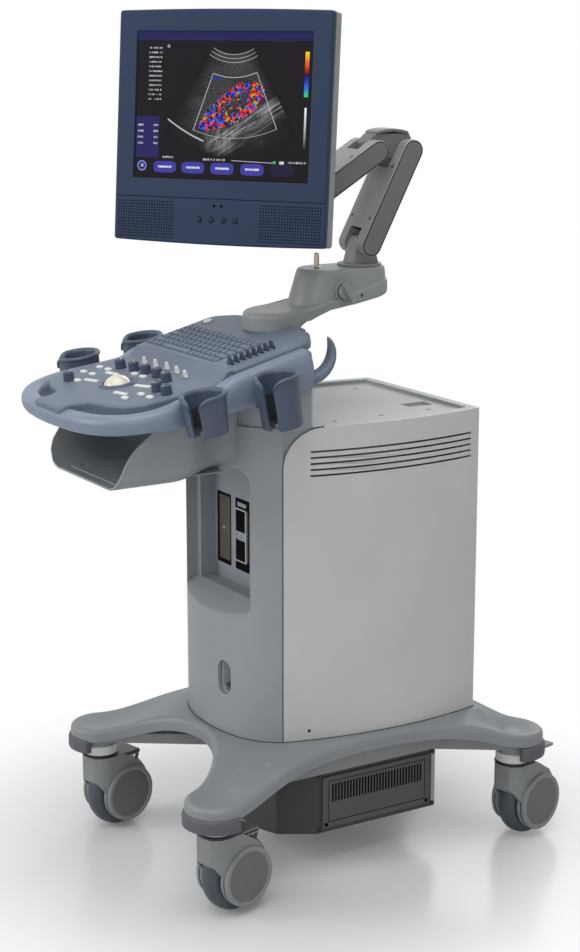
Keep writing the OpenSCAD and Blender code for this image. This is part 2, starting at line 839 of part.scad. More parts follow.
module top_cover() {
    y0 = neck_rear_y + shell;
    grip = [30, 46];
    grip_spot = [62, 225];
    color([0.70, 0.71, 0.71]) difference() {
        body_slice(shell, y0, rear_y - shell, body_top_z - top_t, body_top_z);
        body_slice(shell + rim_w, y0 + rim_w, rear_y - shell - rim_w, body_top_z - rim_h, body_top_z + 1);
        translate([grip_spot.x - grip.x / 2, grip_spot.y - grip.y / 2, body_top_z - top_t + 1])
            cube([grip.x, grip.y, top_t]);
        for (p = top_screws)
            translate([p.x, p.y, body_top_z - rim_h - screw_sink]) cylinder(h = top_t, r = screw_r + run_fit);
    }
}

// Power inlet at the rear, as [x, width, height above the base, height]
inlet = [70, 34, 40, 26];
inlet_edge = 2;

module rear_cover() {
    rear_vents = 12;
    vent_half_w = 70;
    slot_h = 5;
    slot_pitch = 12;
    slot_low_z = fan_z - (rear_vents - 1) * slot_pitch / 2;
    color([0.72, 0.72, 0.71]) difference() {
        body_slice(0, rear_y - shell, rear_y, base_top_z, body_top_z);
        for (k = [0 : rear_vents - 1])
            box(-vent_half_w, vent_half_w, rear_y - shell - 1, rear_y + 1,
                slot_low_z + slot_pitch * k - slot_h / 2, slot_low_z + slot_pitch * k + slot_h / 2);
        box(inlet[0], inlet[0] + inlet[1], rear_y - shell - 1, rear_y + 1, base_top_z + inlet[2],
            base_top_z + inlet[2] + inlet[3]);
    }
}

fan_z = 560;
fan_r = 54;
fan_d = 24;
chassis_half_w = 136;
chassis_front_y = -60;
chassis_wall_y = rear_y - shell - 12;
chassis_top_z = body_top_z - top_t;
fan_pin_r = 4;

module inner_chassis() {
    sheet = 2;
    shelf_z = 420;
    post = 20;
    boards = 5;
    board_pitch = 28;
    board_margin = 30;
    board_top_z = chassis_top_z - 33;
    color([0.62, 0.63, 0.64]) {
        difference() {
            union() {
                box(-chassis_half_w, chassis_half_w, chassis_front_y, chassis_wall_y, base_top_z,
                    base_top_z + sheet);
                box(-chassis_half_w, chassis_half_w, chassis_wall_y - sheet, chassis_wall_y, base_top_z,
                    chassis_top_z);
                box(-chassis_half_w, chassis_half_w, chassis_front_y, chassis_wall_y, shelf_z - sheet,
                    shelf_z);
                for (s = [-1, 1], y = [chassis_front_y, chassis_wall_y - post])
                    box(s > 0 ? chassis_half_w - sheet : -chassis_half_w,
                        s > 0 ? chassis_half_w : -chassis_half_w + sheet, y, y + post, base_top_z,
                        chassis_top_z);
            }
            translate([0, chassis_wall_y + 1, fan_z]) rotate([90, 0, 0])
                cylinder(h = sheet + 2, r = fan_r + 4);
        }
        box(-fan_r - 10, fan_r + 10, chassis_wall_y - sheet, chassis_wall_y, fan_z - 6, fan_z + 6);
        translate([0, chassis_wall_y, fan_z]) rotate([90, 0, 0])
            cylinder(h = sheet + fan_d, r = fan_pin_r);
        for (i = [0 : boards - 1])
            box((i - (boards - 1) / 2) * board_pitch, (i - (boards - 1) / 2) * board_pitch + sheet,
                chassis_front_y + board_margin, chassis_wall_y - sheet - fan_d - board_margin,
                shelf_z - eps, board_top_z);
        box(inlet[0], inlet[0] + inlet[1], chassis_wall_y - eps, rear_y - shell,
            base_top_z + inlet[2] + inlet_edge, base_top_z + inlet[2] + inlet[3] - inlet_edge);
    }
}

module power_supply() {
    size = [170, 190, 62];
    at = [-110, 40, base_top_z + 2];
    color([0.55, 0.56, 0.57]) translate(at) cube(size);
}

module cooling_fan() {
    hub = 18;
    blades = 7;
    color([0.15, 0.15, 0.16])
        translate([0, chassis_wall_y - 2 - pass_gap, fan_z]) rotate([90, 0, 0]) difference() {
            union() {
                cylinder(h = fan_d - 2, r = hub);
                for (k = [0 : blades - 1])
                    rotate(k * 360 / blades) translate([hub - 2, 0, 11]) rotate([35, 0, 0])
                        box(0, fan_r - hub, -1, 1, -10, 10);
            }
            translate([0, 0, -1]) cylinder(h = fan_d + 2, r = fan_pin_r + run_fit);
        }
}

// Console

module on_deck() {
    translate([0, ball_y, ball_z]) rotate([deck_tilt, 0, 0]) children();
}

module on_keys() {
    translate([0, key_y, key_z]) rotate([key_tilt, 0, 0]) children();
}

handle_front_v = -129;
bar_t = 30;
rail_t = 37;
console_rear_v = deck_v(-34);
// Rearmost point of the keyboard deck in its own frame
slab_rear = (console_rear_v - deck_v(key_y)) * cos(deck_tilt) / cos(key_tilt) + 34;
tongue_w = 80;
tongue_front_v = handle_front_v + 5;

// Plan of the handle frame in the deck frame: bowed front bar, wide corners and straight rails
module handle_plan(inset = 0) {
    half = [
        [0, handle_front_v], [110, handle_front_v + 7], [handle_half_w - 22, handle_front_v + 37],
        [handle_half_w, handle_front_v + 99], [rail_half_w, 46], [rail_half_w - 6, console_rear_v]
    ];
    round_r = 42;
    offset(r = -inset) offset(r = round_r) offset(delta = -round_r)
        polygon(concat(half, [for (i = [len(half) - 1 : -1 : 1]) [-half[i].x, half[i].y]]));
}

// Plan of the two finger openings behind the front bar
module finger_gaps() {
    front_v = handle_front_v + bar_t;
    round_r = 8;
    for (s = [0, 1]) mirror([s, 0]) offset(r = round_r) offset(delta = -round_r) polygon([
        [tongue_w / 2, front_v], [100, front_v + 6], [140, front_v + 22], [160, front_v + 42],
        [152, front_v + 54], [120, front_v + 46], [tongue_w / 2 + 16, front_v + 36],
        [tongue_w / 2, front_v + 18]
    ]);
}

// Space above the handle frame's underside, which rises towards the front bar
module above_underside() {
    on_deck() along_x(big) polygon([
        [handle_front_v - 10, -deck_t - 6], [handle_front_v + bar_t, -deck_t - 25], [-52, -frame_depth],
        [big, -frame_depth], [big, big], [handle_front_v - 10, big]
    ]);
}

// Everything under the keyboard deck's underside
module under_slab(t) {
    on_keys() box(-big, big, -big, big, -big, -t);
}

module handle_frame() {
    color([0.54, 0.59, 0.66]) difference() {
        intersection() {
            union() {
                on_deck() translate([0, 0, -frame_depth]) linear_extrude(frame_depth - deck_t) difference() {
                    handle_plan();
                    finger_gaps();
                }
                intersection() {
                    on_deck() translate([0, 0, -frame_depth]) linear_extrude(big / 2) intersection() {
                        handle_plan();
                        translate([-big / 2, deck_rear_v]) square([big, big]);
                    }
                    under_slab(slab_t);
                }
            }
            above_underside();
        }
        on_deck() translate([0, 0, -frame_depth + pan_wall]) linear_extrude(big) intersection() {
            handle_plan(rail_t);
            translate([-big / 2, -36]) square([big, big]);
        }
        translate([0, arm_y, pad_z]) cylinder(h = big, r = pad_r + eps);
    }
}

// Plan of the control deck: a tongue over the front bar and a main field with cut front corners
module deck_plan() {
    round_r = 12;
    front_v = -74;
    translate([-tongue_w / 2, tongue_front_v]) square([tongue_w, front_v - tongue_front_v + 10]);
    intersection() {
        offset(r = round_r) offset(delta = -round_r) polygon([
            [-60, front_v], [60, front_v], [deck_half_w - 14, front_v + 18], [deck_half_w, front_v + 44],
            [deck_half_w, big], [-deck_half_w, big], [-deck_half_w, front_v + 44],
            [-deck_half_w + 14, front_v + 18]
        ]);
        translate([-big / 2, -big]) square([big, big + deck_rear_v]);
    }
}

module control_deck() {
    color([0.45, 0.49, 0.55]) on_deck() difference() {
        translate([0, 0, -deck_t]) linear_extrude(deck_t) deck_plan();
        cylinder(h = 2 * big, r = ball_r + pass_gap, center = true);
        for (p = knob_spots) translate([p.x, p.y, -big]) cylinder(h = 2 * big, r = knob_shaft_r + run_fit);
        for (p = oval_spots) translate([p.x, p.y, -big]) linear_extrude(2 * big) oval2d(slide_fit);
        for (p = bar_spots) translate([p.x, p.y, -big]) rotate(p.z) linear_extrude(2 * big) bar2d(slide_fit);
        for (p = toggle_spots)
            translate([p.x, p.y, 0]) cube([4 + 2 * slide_fit, 12, 4 * deck_t], center = true);
    }
}

module oval2d(grow) {
    reach = (oval_size.x - oval_size.y) / 2;
    link2d([-reach, 0], [reach, 0], oval_size.y / 2 + grow);
}

module bar2d(grow) {
    square([bar_size.x + 2 * grow, bar_size.y + 2 * grow], center = true);
}

// Plan of the keyboard deck in the keyboard frame
module slab_plan() {
    corner = 20;
    offset(r = corner) offset(delta = -corner) polygon([
        [-slab_half_w, 2], [slab_half_w, 2], [slab_half_w, slab_rear - 42], [0, slab_rear],
        [-slab_half_w, slab_rear - 42]
    ]);
}

module keyboard_deck() {
    well = slide_fit;
    color([0.45, 0.49, 0.55]) {
        difference() {
            on_keys() difference() {
                translate([0, 0, -slab_t]) linear_extrude(slab_t) slab_plan();
                translate([key_left - well, key_front - well, -web_sink - key_travel - 1])
                    cube([key_field.x + 2 * well, key_field.y + 2 * well, big]);
                for (i = [0 : sliders - 1])
                    translate([slider_x, slider_front + i * slider_pitch, 0])
                        cube([2 * slider_travel + 6, 3 + 2 * slide_fit, 4 * slab_t], center = true);
                translate([power_spot.x, power_spot.y, -big]) cylinder(h = 2 * big, r = power_r + slide_fit);
            }
            translate([0, arm_y, arm_z - pass_gap]) cylinder(h = big, r = foot_r + pass_gap);
        }
        translate([0, arm_y, pad_z]) cylinder(h = arm_z - pass_gap - pad_z, r = pad_r);
        translate([0, arm_y, arm_z - pass_gap - eps]) cylinder(h = 26, r = post_r);
    }
}

pad_z = arm_z - 40;
pad_r = foot_r - 3;
power_spot = [-132, 126];
power_r = 8;

// Holders on the right side as [x, v, height]; the left side mirrors them
cup_spots = [[212, 36, cup_front_h], [220, 160, cup_rear_h]];
cup_slot_turn = -57;

// Cup with a short arm that reaches the rail
module probe_holder(h) {
    arm_len = 14;
    difference() {
        union() {
            cylinder(h = h, r1 = cup_foot_r, r2 = cup_r);
            translate([-cup_r - arm_len, -cup_foot_r / 2, h - cup_rise - deck_t - cup_foot_r])
                cube([cup_r + arm_len, cup_foot_r, cup_foot_r]);
        }
        translate([0, 0, cup_wall])
            cylinder(h = h, r1 = cup_foot_r - cup_wall, r2 = cup_r - cup_wall);
        rotate(cup_slot_turn) box(0, big, -cup_slot_w / 2, cup_slot_w / 2, -1, big);
        translate([0, 0, -1]) cylinder(h = h, r = cup_foot_r - 2.5 * cup_wall);
    }
}

module probe_holders() {
    color([0.36, 0.41, 0.49]) on_deck() difference() {
        for (p = cup_spots, s = [0, 1])
            mirror([s, 0, 0]) translate([p.x, p.y, cup_rise - p.z]) probe_holder(p.z);
        translate([0, 0, -big / 2]) linear_extrude(big) handle_plan();
    }
}

// Crescent horn behind the right rail: two circles of which the inner one lies higher
module cable_hook() {
    outer_r = 46;
    inner_r = 39;
    lift = [-3, 6];
    hook_w = 26;
    at = [console_rear_v - 12, 10];
    color([0.36, 0.41, 0.49]) on_deck() difference() {
        translate([rail_half_w - 8 - hook_w, 0, 0]) along_x_from(hook_w) difference() {
            translate(at) circle(r = outer_r);
            translate(at + lift) circle(r = inner_r);
            translate([at.x - big, -big / 2]) square([big, big]);
            translate([at.x, at.y + 14]) square([big, big]);
        }
        translate([0, 0, -frame_depth]) linear_extrude(frame_depth) handle_plan();
    }
}

module storage_tray() {
    floor_r = 40;
    swoop = [70, 70];
    color([0.62, 0.63, 0.62]) difference() {
        intersection() {
            along_y(tray_front_y, seam_y) difference() {
                tray_section(0, floor_r);
                tray_section(tray_wall, floor_r - tray_wall);
            }
            under_console();
            along_x(big) polygon([
                [tray_front_y, 0], [seam_y, 0], [seam_y, big], [tray_front_y + swoop.x, big],
                [tray_front_y + swoop.x, tray_z + swoop.y + 34],
                [tray_front_y + 0.45 * swoop.x, tray_z + swoop.y],
                [tray_front_y + 0.1 * swoop.x, tray_z + 0.55 * swoop.y], [tray_front_y, tray_z + 10]
            ]);
        }
        linear_extrude(big) front_plan(0);
    }
}

// Upright section across the tray: round lower corners, open upwards
module tray_section(inset, r) {
    translate([0, tray_z + inset + big / 2])
        rounded_rect(2 * (tray_half_w - inset), big, r);
}

// Controls

module trackball() {
    color([0.90, 0.88, 0.80]) on_deck() translate([0, 0, -ball_sink]) sphere(r = ball_r);
}

module trackball_ring() {
    ring_h = 2.5;
    ring_r = 29;
    seat_r = sqrt(ball_r * ball_r - ball_sink * ball_sink) + pass_gap;
    color([0.33, 0.38, 0.45]) on_deck() difference() {
        cylinder(h = ring_h, r = ring_r);
        translate([0, 0, -1]) cylinder(h = ring_h + 2, r = seat_r);
    }
}

module knob(i) {
    color([0.24, 0.28, 0.35]) on_deck() translate([knob_spots[i].x, knob_spots[i].y, 0]) {
        translate([0, 0, pass_gap]) cylinder(h = knob_h - pass_gap, r = knob_r);
        translate([0, 0, -deck_t]) cylinder(h = deck_t + 1, r = knob_shaft_r);
    }
}

module control_buttons() {
    stem = deck_t - press - 0.5;
    color([0.92, 0.92, 0.92]) on_deck() {
        for (p = oval_spots) translate([p.x, p.y, -stem]) linear_extrude(stem + button_rise) oval2d(0);
        for (p = bar_spots) translate([p.x, p.y, -stem]) rotate(p.z)
            linear_extrude(stem + button_rise) bar2d(0);
    }
}

module toggle_switches() {
    color([0.88, 0.88, 0.86]) on_deck() for (p = toggle_spots) translate([p.x, p.y, 0]) {
        translate([-2, -2, -deck_t + 1]) cube([4, 4, deck_t]);
        translate([-4, -2, 0.6]) cube([8, 4, 14]);
    }
}

module keyboard_keys() {
    cap = [key_pitch_x - key_gap, key_pitch_y - key_gap];
    space = [3, 6];
    color([0.55, 0.60, 0.66]) on_keys() translate([key_left, key_front, -web_sink]) {
        cube([key_field.x, key_field.y, web_t]);
        for (c = [0 : key_columns - 1], r = [0 : key_rows - 1])
            if (r > 0 || c < space[0] || c >= space[0] + space[1])
                translate([c * key_pitch_x + key_gap / 2, r * key_pitch_y + key_gap / 2, eps])
                    cube([cap.x, cap.y, web_sink + key_top]);
        translate([space[0] * key_pitch_x + key_gap / 2, key_gap / 2, eps])
            cube([space[1] * key_pitch_x - key_gap, cap.y, web_sink + key_top]);
    }
}

module gain_sliders() {
    color([0.20, 0.24, 0.31]) on_keys() for (i = [0 : sliders - 1])
        translate([slider_x, slider_front + i * slider_pitch, 0]) {
            translate([-2.5, -1.5, -slab_t + 1]) cube([5, 3, slab_t]);
            translate([-4, -3.5, pass_gap]) cube([8, 7, 12]);
        }
}

module power_button() {
    stem = slab_t - press - 0.5;
    color([0.93, 0.93, 0.93]) on_keys() translate([power_spot.x, power_spot.y, -stem])
        cylinder(h = stem + button_rise, r = power_r);
}

// Arm

module arm_base() {
    tail_r = 46;
    hump_y = arm_y + 50;
    low_z = arm_z + 34;
    // Outside the round foot the casting passes over the rear edge of the keyboard deck
    over_z = key_z + slab_rear * sin(key_tilt) + 2;
    color([0.62, 0.63, 0.62]) {
        difference() {
            union() {
                intersection() {
                    linear_extrude(big) hull2(foot_r, tail_r);
                    along_x(big) polygon([
                        [arm_y - foot_r, over_z], [arm_y + 40, over_z], [arm_y + 76, arm_z + 31],
                        [turret_y - 30, arm_z + 38],
                        [turret_y + tail_r, arm_z + 58], [turret_y + tail_r, turret_z],
                        [hump_y + 20, turret_z], [hump_y, low_z], [arm_y - foot_r, low_z]
                    ]);
                }
                translate([0, arm_y, arm_z]) cylinder(h = low_z - arm_z, r = foot_r);
            }
            translate([0, arm_y, arm_z - 1]) cylinder(h = 27.5, r = post_r + run_fit);
            translate([0, turret_y, turret_z - 30]) cylinder(h = 40, r = post_r + run_fit);
            translate([0, lock_spot.x, lock_spot.y]) rotate([0, 90, 0])
                cylinder(h = big, r = lock_shaft_r + run_fit);
        }
        translate([0, arm_y + 80, turret_z - 1]) {
            cylinder(h = 12, r = 6);
            cylinder(h = 26, r = 4);
        }
    }
}

// Plan of the arm base: two round ends joined by straight flanks
module hull2(r0, r1) {
    translate([0, arm_y]) circle(r = r0);
    translate([0, turret_y]) circle(r = r1);
    polygon([[-r0, arm_y], [r0, arm_y], [r1, turret_y], [-r1, turret_y]]);
}

lock_spot = [arm_y + 102, arm_z + 61];
lock_shaft_r = 4;
lock_x = 49.8;

module arm_lock_knob() {
    color([0.58, 0.59, 0.58]) translate([0, lock_spot.x, lock_spot.y]) {
        translate([lock_x, 0, 0]) rotate([0, 90, 0]) cylinder(h = 10, r = 13);
        translate([lock_x + 8, 0, 0]) along_x_from(10) link2d([-4, 9], [8, -14], 4.5);
        translate([20, 0, 0]) rotate([0, 90, 0]) cylinder(h = lock_x - 19, r = lock_shaft_r);
    }
}

module along_x_from(w) {
    rotate([90, 0, 90]) linear_extrude(w) children();
}

// Frame of the two links: turned about the turret's axis
module on_links() {
    translate([0, turret_y, 0]) rotate(link_turn) translate([0, -turret_y, 0]) children();
}

// Round pin across a link at one pivot
module link_pin(p, r) {
    translate([0, p.x, p.y]) rotate([0, 90, 0]) cylinder(h = 2 * link_half_w, r = r, center = true);
}

module turret() {
    color([0.60, 0.61, 0.60]) on_links() {
        translate([0, turret_y, turret_z + pass_gap]) cylinder(h = 8, r = turret_r);
        translate([0, turret_y, turret_z - 28]) cylinder(h = 30, r = post_r);
        difference() {
            along_x(2 * tongue_half_w) union() {
                translate(lower_pivot) circle(r = link_r - 4);
                translate([lower_pivot.x - link_r + 4, turret_z + 4])
                    square([2 * link_r - 8, pivot_z - turret_z - 4]);
            }
            link_pin(lower_pivot, pin_r + run_fit);
        }
    }
}

// Link between two pivots with its own pins and a slot for a tongue at each end; deep is how far the
// second slot reaches into the link, in link radii
module link(a, b, deep) {
    slot = tongue_half_w + pass_gap;
    step = link_r * (b - a) / norm(b - a);
    difference() {
        along_x(2 * link_half_w) link2d(a, b, link_r);
        along_x(2 * slot) {
            link2d(a - 2 * step, a + 0.25 * step, link_r + 1);
            link2d(b - deep * step, b + 2 * step, link_r + 1);
        }
    }
    link_pin(a, pin_r);
    link_pin(b, pin_r);
}

module lower_arm() {
    color([0.64, 0.65, 0.64]) on_links() link(lower_pivot, elbow_rear, 2.2);
}

module elbow_block() {
    cap_gap = 7;
    cap_t = 7;
    cap_half_w = 24;
    color([0.52, 0.53, 0.52]) on_links() difference() {
        union() {
            along_x(2 * tongue_half_w) link2d(elbow_front, elbow_rear, link_r - 3);
            along_x(2 * tongue_half_w) translate(elbow_front) square([elbow_l, link_r + cap_gap + 1]);
            along_x(2 * cap_half_w) translate([elbow_front.x + 2, elbow_front.y + link_r + cap_gap])
                square([elbow_l + 4, cap_t]);
        }
        link_pin(elbow_front, pin_r + run_fit);
        link_pin(elbow_rear, pin_r + run_fit);
    }
}

module upper_arm() {
    color([0.64, 0.65, 0.64]) on_links() link(upper_end, elbow_front, 0.25);
}

module wrist_block() {
    color([0.52, 0.53, 0.52]) on_links() difference() {
        union() {
            along_x(2 * tongue_half_w) link2d([swivel_axis_y, upper_end.y], upper_end, link_r - 4);
            translate([0, swivel_axis_y, upper_end.y - link_r + 4])
                cylinder(h = yoke_z - upper_end.y + link_r - 4 - pass_gap, r = tongue_half_w);
        }
        link_pin(upper_end, pin_r + run_fit);
        translate([0, swivel_axis_y, 0]) cylinder(h = big, r = swivel_pin_r + run_fit);
    }
}

// Monitor: its own frame has the origin at the screen's middle, X to the right and Y to the back
module on_monitor() {
    translate([screen_x, screen_y, screen_z]) rotate([0, 0, screen_turn]) rotate([-screen_tilt, 0, 0])
        children();
}

// Swivel frame: the monitor's frame without its tilt, at the monitor's swivel axis
function turned(p, a) = [p.x * cos(a) - p.y * sin(a), p.x * sin(a) + p.y * cos(a)];
swivel_at = [0, turret_y] + turned([0, swivel_axis_y - turret_y], link_turn);
tilt_local = [0, tilt_back * cos(screen_tilt) - tilt_drop * sin(screen_tilt),
              -tilt_back * sin(screen_tilt) - tilt_drop * cos(screen_tilt)];
tilt_plan = [screen_x, screen_y] + turned([hub_local_x(), tilt_local.y], screen_turn);
tilt_z = screen_z + tilt_local.z;
function hub_local_x() = turned(swivel_at - [screen_x, screen_y], -screen_turn).x;
yoke_reach = turned(swivel_at - tilt_plan, -screen_turn).y;

module monitor_yoke() {
    plate = 10;
    yoke_half_w = 26;
    color([0.50, 0.51, 0.51]) translate([swivel_at.x, swivel_at.y, 0]) rotate(screen_turn) {
        translate([0, 0, yoke_z]) cylinder(h = plate, r = 24);
        translate([0, 0, upper_end.y - link_r + 6])
            cylinder(h = yoke_z - upper_end.y + link_r - 4, r = swivel_pin_r);
        along_x(2 * yoke_half_w) link2d([-yoke_reach, tilt_z], [-16, yoke_z + plate - 2], 7);
        translate([0, -yoke_reach, tilt_z]) rotate([0, 90, 0])
            cylinder(h = 2 * yoke_half_w + 28, r = tilt_pin_r, center = true);
    }
}

// Front outline of the monitor
module monitor_face(inset) {
    mid = (bezel_up - bezel_down) / 2;
    translate([0, mid])
        rounded_rect(2 * (bezel_half_w - inset), bezel_up + bezel_down - 2 * inset, bezel_r);
}

module monitor_bezel() {
    color([0.22, 0.27, 0.36]) on_monitor() difference() {
        along_y(0, bezel_d) monitor_face(0);
        along_y(-1, bezel_d + 1) square([screen_w, screen_h], center = true);
        along_y(lcd_sink, bezel_d + 1)
            square([screen_w + 2 * lcd_margin, screen_h + 2 * lcd_margin], center = true);
        for (k = [0 : 3]) translate([(k - 1.5) * mon_button_pitch, bezel_d + 1, mon_button_z])
            rotate([90, 0, 0]) cylinder(h = bezel_d + 2, r = mon_button_r + slide_fit);
    }
}

module lcd_panel() {
    color([0.02, 0.02, 0.03]) on_monitor() along_y(lcd_sink, bezel_d)
        square([screen_w + 2 * lcd_margin - 2 * run_fit, screen_h + 2 * lcd_margin - 2 * run_fit],
               center = true);
}

module monitor_case() {
    lug_t = 10;
    lug_x = 26 + pass_gap;
    back_y = bezel_d + case_d;
    hub_x = hub_local_x();
    color([0.63, 0.65, 0.67]) on_monitor() {
        difference() {
            union() {
                along_y(bezel_d, bezel_d + 12) monitor_face(1);
                along_y(bezel_d, back_y) monitor_face(22);
            }
            along_y(bezel_d - 1, back_y - shell) monitor_face(26);
        }
        difference() {
            for (s = [-1, 1])
                translate([hub_x + s * (lug_x + lug_t / 2), 0, 0]) along_x(lug_t)
                    link2d([back_y - 2, -tilt_drop], [tilt_back, -tilt_drop], 9);
            translate([hub_x, tilt_back, -tilt_drop]) rotate([0, 90, 0])
                cylinder(h = big, r = tilt_pin_r + run_fit, center = true);
            along_y(bezel_d - 1, back_y - shell) monitor_face(26);
        }
    }
}

module monitor_buttons() {
    color([0.05, 0.06, 0.08]) on_monitor() for (k = [0 : 3])
        translate([(k - 1.5) * mon_button_pitch, bezel_d - press - 0.5, mon_button_z])
            rotate([90, 0, 0]) cylinder(h = bezel_d - press, r = mon_button_r);
}

base_frame();
base_cover();
leg_bumpers();
transformer_box();
box_grille();
cover_screws();
caster_fork(0, false);  // caster_fork_fl
caster_fork(1, false);  // caster_fork_fr
caster_fork(2, true);  // caster_fork_rl
caster_fork(3, true);  // caster_fork_rr
caster_wheel(0);  // caster_wheel_fl
caster_wheel(1);  // caster_wheel_fr
caster_wheel(2);  // caster_wheel_rl
caster_wheel(3);  // caster_wheel_rr
brake_pedal(2);  // brake_pedal_rl
brake_pedal(3);  // brake_pedal_rr
front_column();
neck_cover();
connector_bay();
front_ports();
side_panel(-1);  // side_panel_left
side_panel(1);  // side_panel_right
top_cover();
rear_cover();
inner_chassis();
power_supply();
cooling_fan();
storage_tray();
handle_frame();
control_deck();
keyboard_deck();
probe_holders();
cable_hook();
trackball();
trackball_ring();
keyboard_keys();
control_buttons();
power_button();
knob(0);  // knob_1
knob(1);  // knob_2
knob(2);  // knob_3
knob(3);  // knob_4
knob(4);  // knob_5
knob(5);  // knob_6
knob(6);  // knob_7
knob(7);  // knob_8
toggle_switches();
gain_sliders();
arm_base();
arm_lock_knob();
turret();
lower_arm();
elbow_block();
upper_arm();
wrist_block();
monitor_yoke();
monitor_case();
monitor_bezel();
lcd_panel();
monitor_buttons();
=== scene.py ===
import json
import math

import bmesh
import bpy
import numpy as np
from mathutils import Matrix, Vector
from mathutils.geometry import delaunay_2d_cdt


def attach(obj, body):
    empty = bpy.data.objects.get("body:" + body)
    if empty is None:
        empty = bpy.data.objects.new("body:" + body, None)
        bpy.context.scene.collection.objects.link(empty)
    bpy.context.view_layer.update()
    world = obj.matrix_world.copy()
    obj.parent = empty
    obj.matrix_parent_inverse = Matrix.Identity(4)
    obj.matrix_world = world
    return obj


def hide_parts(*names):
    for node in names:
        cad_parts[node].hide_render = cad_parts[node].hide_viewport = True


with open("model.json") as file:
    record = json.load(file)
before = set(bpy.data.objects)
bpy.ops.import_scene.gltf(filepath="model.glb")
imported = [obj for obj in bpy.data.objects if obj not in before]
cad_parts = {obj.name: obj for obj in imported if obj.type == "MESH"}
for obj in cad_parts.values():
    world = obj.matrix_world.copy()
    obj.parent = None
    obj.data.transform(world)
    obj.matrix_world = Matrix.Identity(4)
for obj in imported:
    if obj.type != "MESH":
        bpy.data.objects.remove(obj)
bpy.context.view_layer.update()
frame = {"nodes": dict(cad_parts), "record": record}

scene = bpy.context.scene
scene.view_settings.view_transform = "Standard"
bodyRows = frame["record"]["behaviour"]["bodies"]
nodeBody = {node: body for body, nodes in bodyRows.items() for node in nodes}
print("stage: frame loaded,", len(nodeBody), "nodes")

# camera: placed and turned as measured from the photograph's perspective
cameraSetup = {"place": (2.7348, -1.676, 1.3886), "down": 13.1, "turn": 58.3, "lens": 74.9, "sensor": 36,
               "far": 60}
viewLens = bpy.data.cameras.new("viewCamera")
viewLens.lens = cameraSetup["lens"]
viewLens.sensor_width = cameraSetup["sensor"]
viewLens.clip_end = cameraSetup["far"]
viewCamera = bpy.data.objects.new("viewCamera", viewLens)
viewCamera.location = cameraSetup["place"]
viewCamera.rotation_euler = (math.radians(90 - cameraSetup["down"]), 0, math.radians(cameraSetup["turn"]))
scene.collection.objects.link(viewCamera)
scene.camera = viewCamera
print("stage: camera")


# finishes
def paint(r, g, b):
    # colour as read on a screen, 0 to 255, to the linear values a shader takes
    c = np.array([r, g, b]) / 255
    c = np.where(c <= 0.04045, c / 12.92, ((c + 0.055) / 1.055) ** 2.4)
    return (*c.tolist(), 1.0)


def toned(colour, factor):
    # the same colour with its linear values multiplied, held at 1
    return (*np.minimum(np.array(paint(*colour)[:3]) * factor, 1).tolist(), 1)


class Wire:
    # one socket of a material; arithmetic on it adds Math nodes
    def __init__(self, tree, socket):
        self.tree = tree
        self.socket = socket

    def make(self, kind, settings, inputs, out=0):
        # any other node: its settings first, then the values or links of its sockets
        node = self.tree.nodes.new(kind)
        for key, value in settings.items():
            if key == "held":
                node.color_ramp.interpolation = "CONSTANT"
            elif key == "stops":
                stops = node.color_ramp.elements
                for spot, (place, colour) in enumerate(value):
                    stop = stops[spot] if spot < 2 else stops.new(place)
                    stop.position = place
                    stop.color = colour
            else:
                setattr(node, key, value)
        for key, value in inputs.items():
            feed(node.inputs[key], value)
        return Wire(self.tree, node.outputs[out])

    def calc(self, operation, *values):
        # one Math node
        return self.make("ShaderNodeMath", {"operation": operation}, dict(enumerate(values)))

    def mix(self, low, high):
        # a colour between two, by this wire's value
        return self.make("ShaderNodeMix", {"data_type": "RGBA"}, {0: self, 6: low, 7: high}, 2)

    def __add__(self, other):
        return self.calc("ADD", self, other)

    def __radd__(self, other):
        return self.calc("ADD", other, self)

    def __sub__(self, other):
        return self.calc("SUBTRACT", self, other)

    def __rsub__(self, other):
        return self.calc("SUBTRACT", other, self)

    def __mul__(self, other):
        return self.calc("MULTIPLY", self, other)

    def __rmul__(self, other):
        return self.calc("MULTIPLY", other, self)

    def __truediv__(self, other):
        return self.calc("DIVIDE", self, other)

    def __pow__(self, other):
        return self.calc("POWER", self, other)

    def __lt__(self, other):
        return self.calc("LESS_THAN", self, other)

    def __gt__(self, other):
        return self.calc("GREATER_THAN", self, other)

    def __abs__(self):
        return self.calc("ABSOLUTE", self)

    def either(self, other):
        # the larger of two values, so that one of two masks is enough
        return self.calc("MAXIMUM", self, other)

    def clip(self, low=0.0, high=1.0):
        # held between two values
        return self.calc("MINIMUM", self.either(low), high)


def feed(socket, value):
    # a link from a wire, or a plain value
    if isinstance(value, Wire):
        value.tree.links.new(value.socket, socket)
    else:
        socket.default_value = value


finishes = {}


def newFinish(name, source="Object"):
    # material with its shader's sockets and one wire of coordinates
    material = bpy.data.materials.new(name)
    material.use_nodes = True
    tree = material.node_tree
    coords = Wire(tree, tree.nodes.new("ShaderNodeTexCoord").outputs[source])
    finishes[name] = material
    return tree.nodes["Principled BSDF"].inputs, coords


def noise(coords, scale, detail=2.0):
    # cloudy values from 0 to 1
    return coords.make("ShaderNodeTexNoise", {}, {"Vector": coords, "Scale": scale, "Detail": detail})


def addBump(sockets, coords, height, strength, distance):
    # relief that follows a height from 0 to 1, distance in metres
    inputs = {"Strength": strength, "Distance": distance, "Height": height}
    feed(sockets["Normal"], coords.make("ShaderNodeBump", {}, inputs))


moulding = {"cloud": 6.0, "cloudTone": 1.5, "grainTone": 0.8, "cloudShine": 0.10, "grainShine": 0.16,
            "bump": 0.0003, "scuffScale": (40, 40, 260), "scuffFrom": 0.66, "scuffTone": 1.35,
            "scuffShine": 0.2}


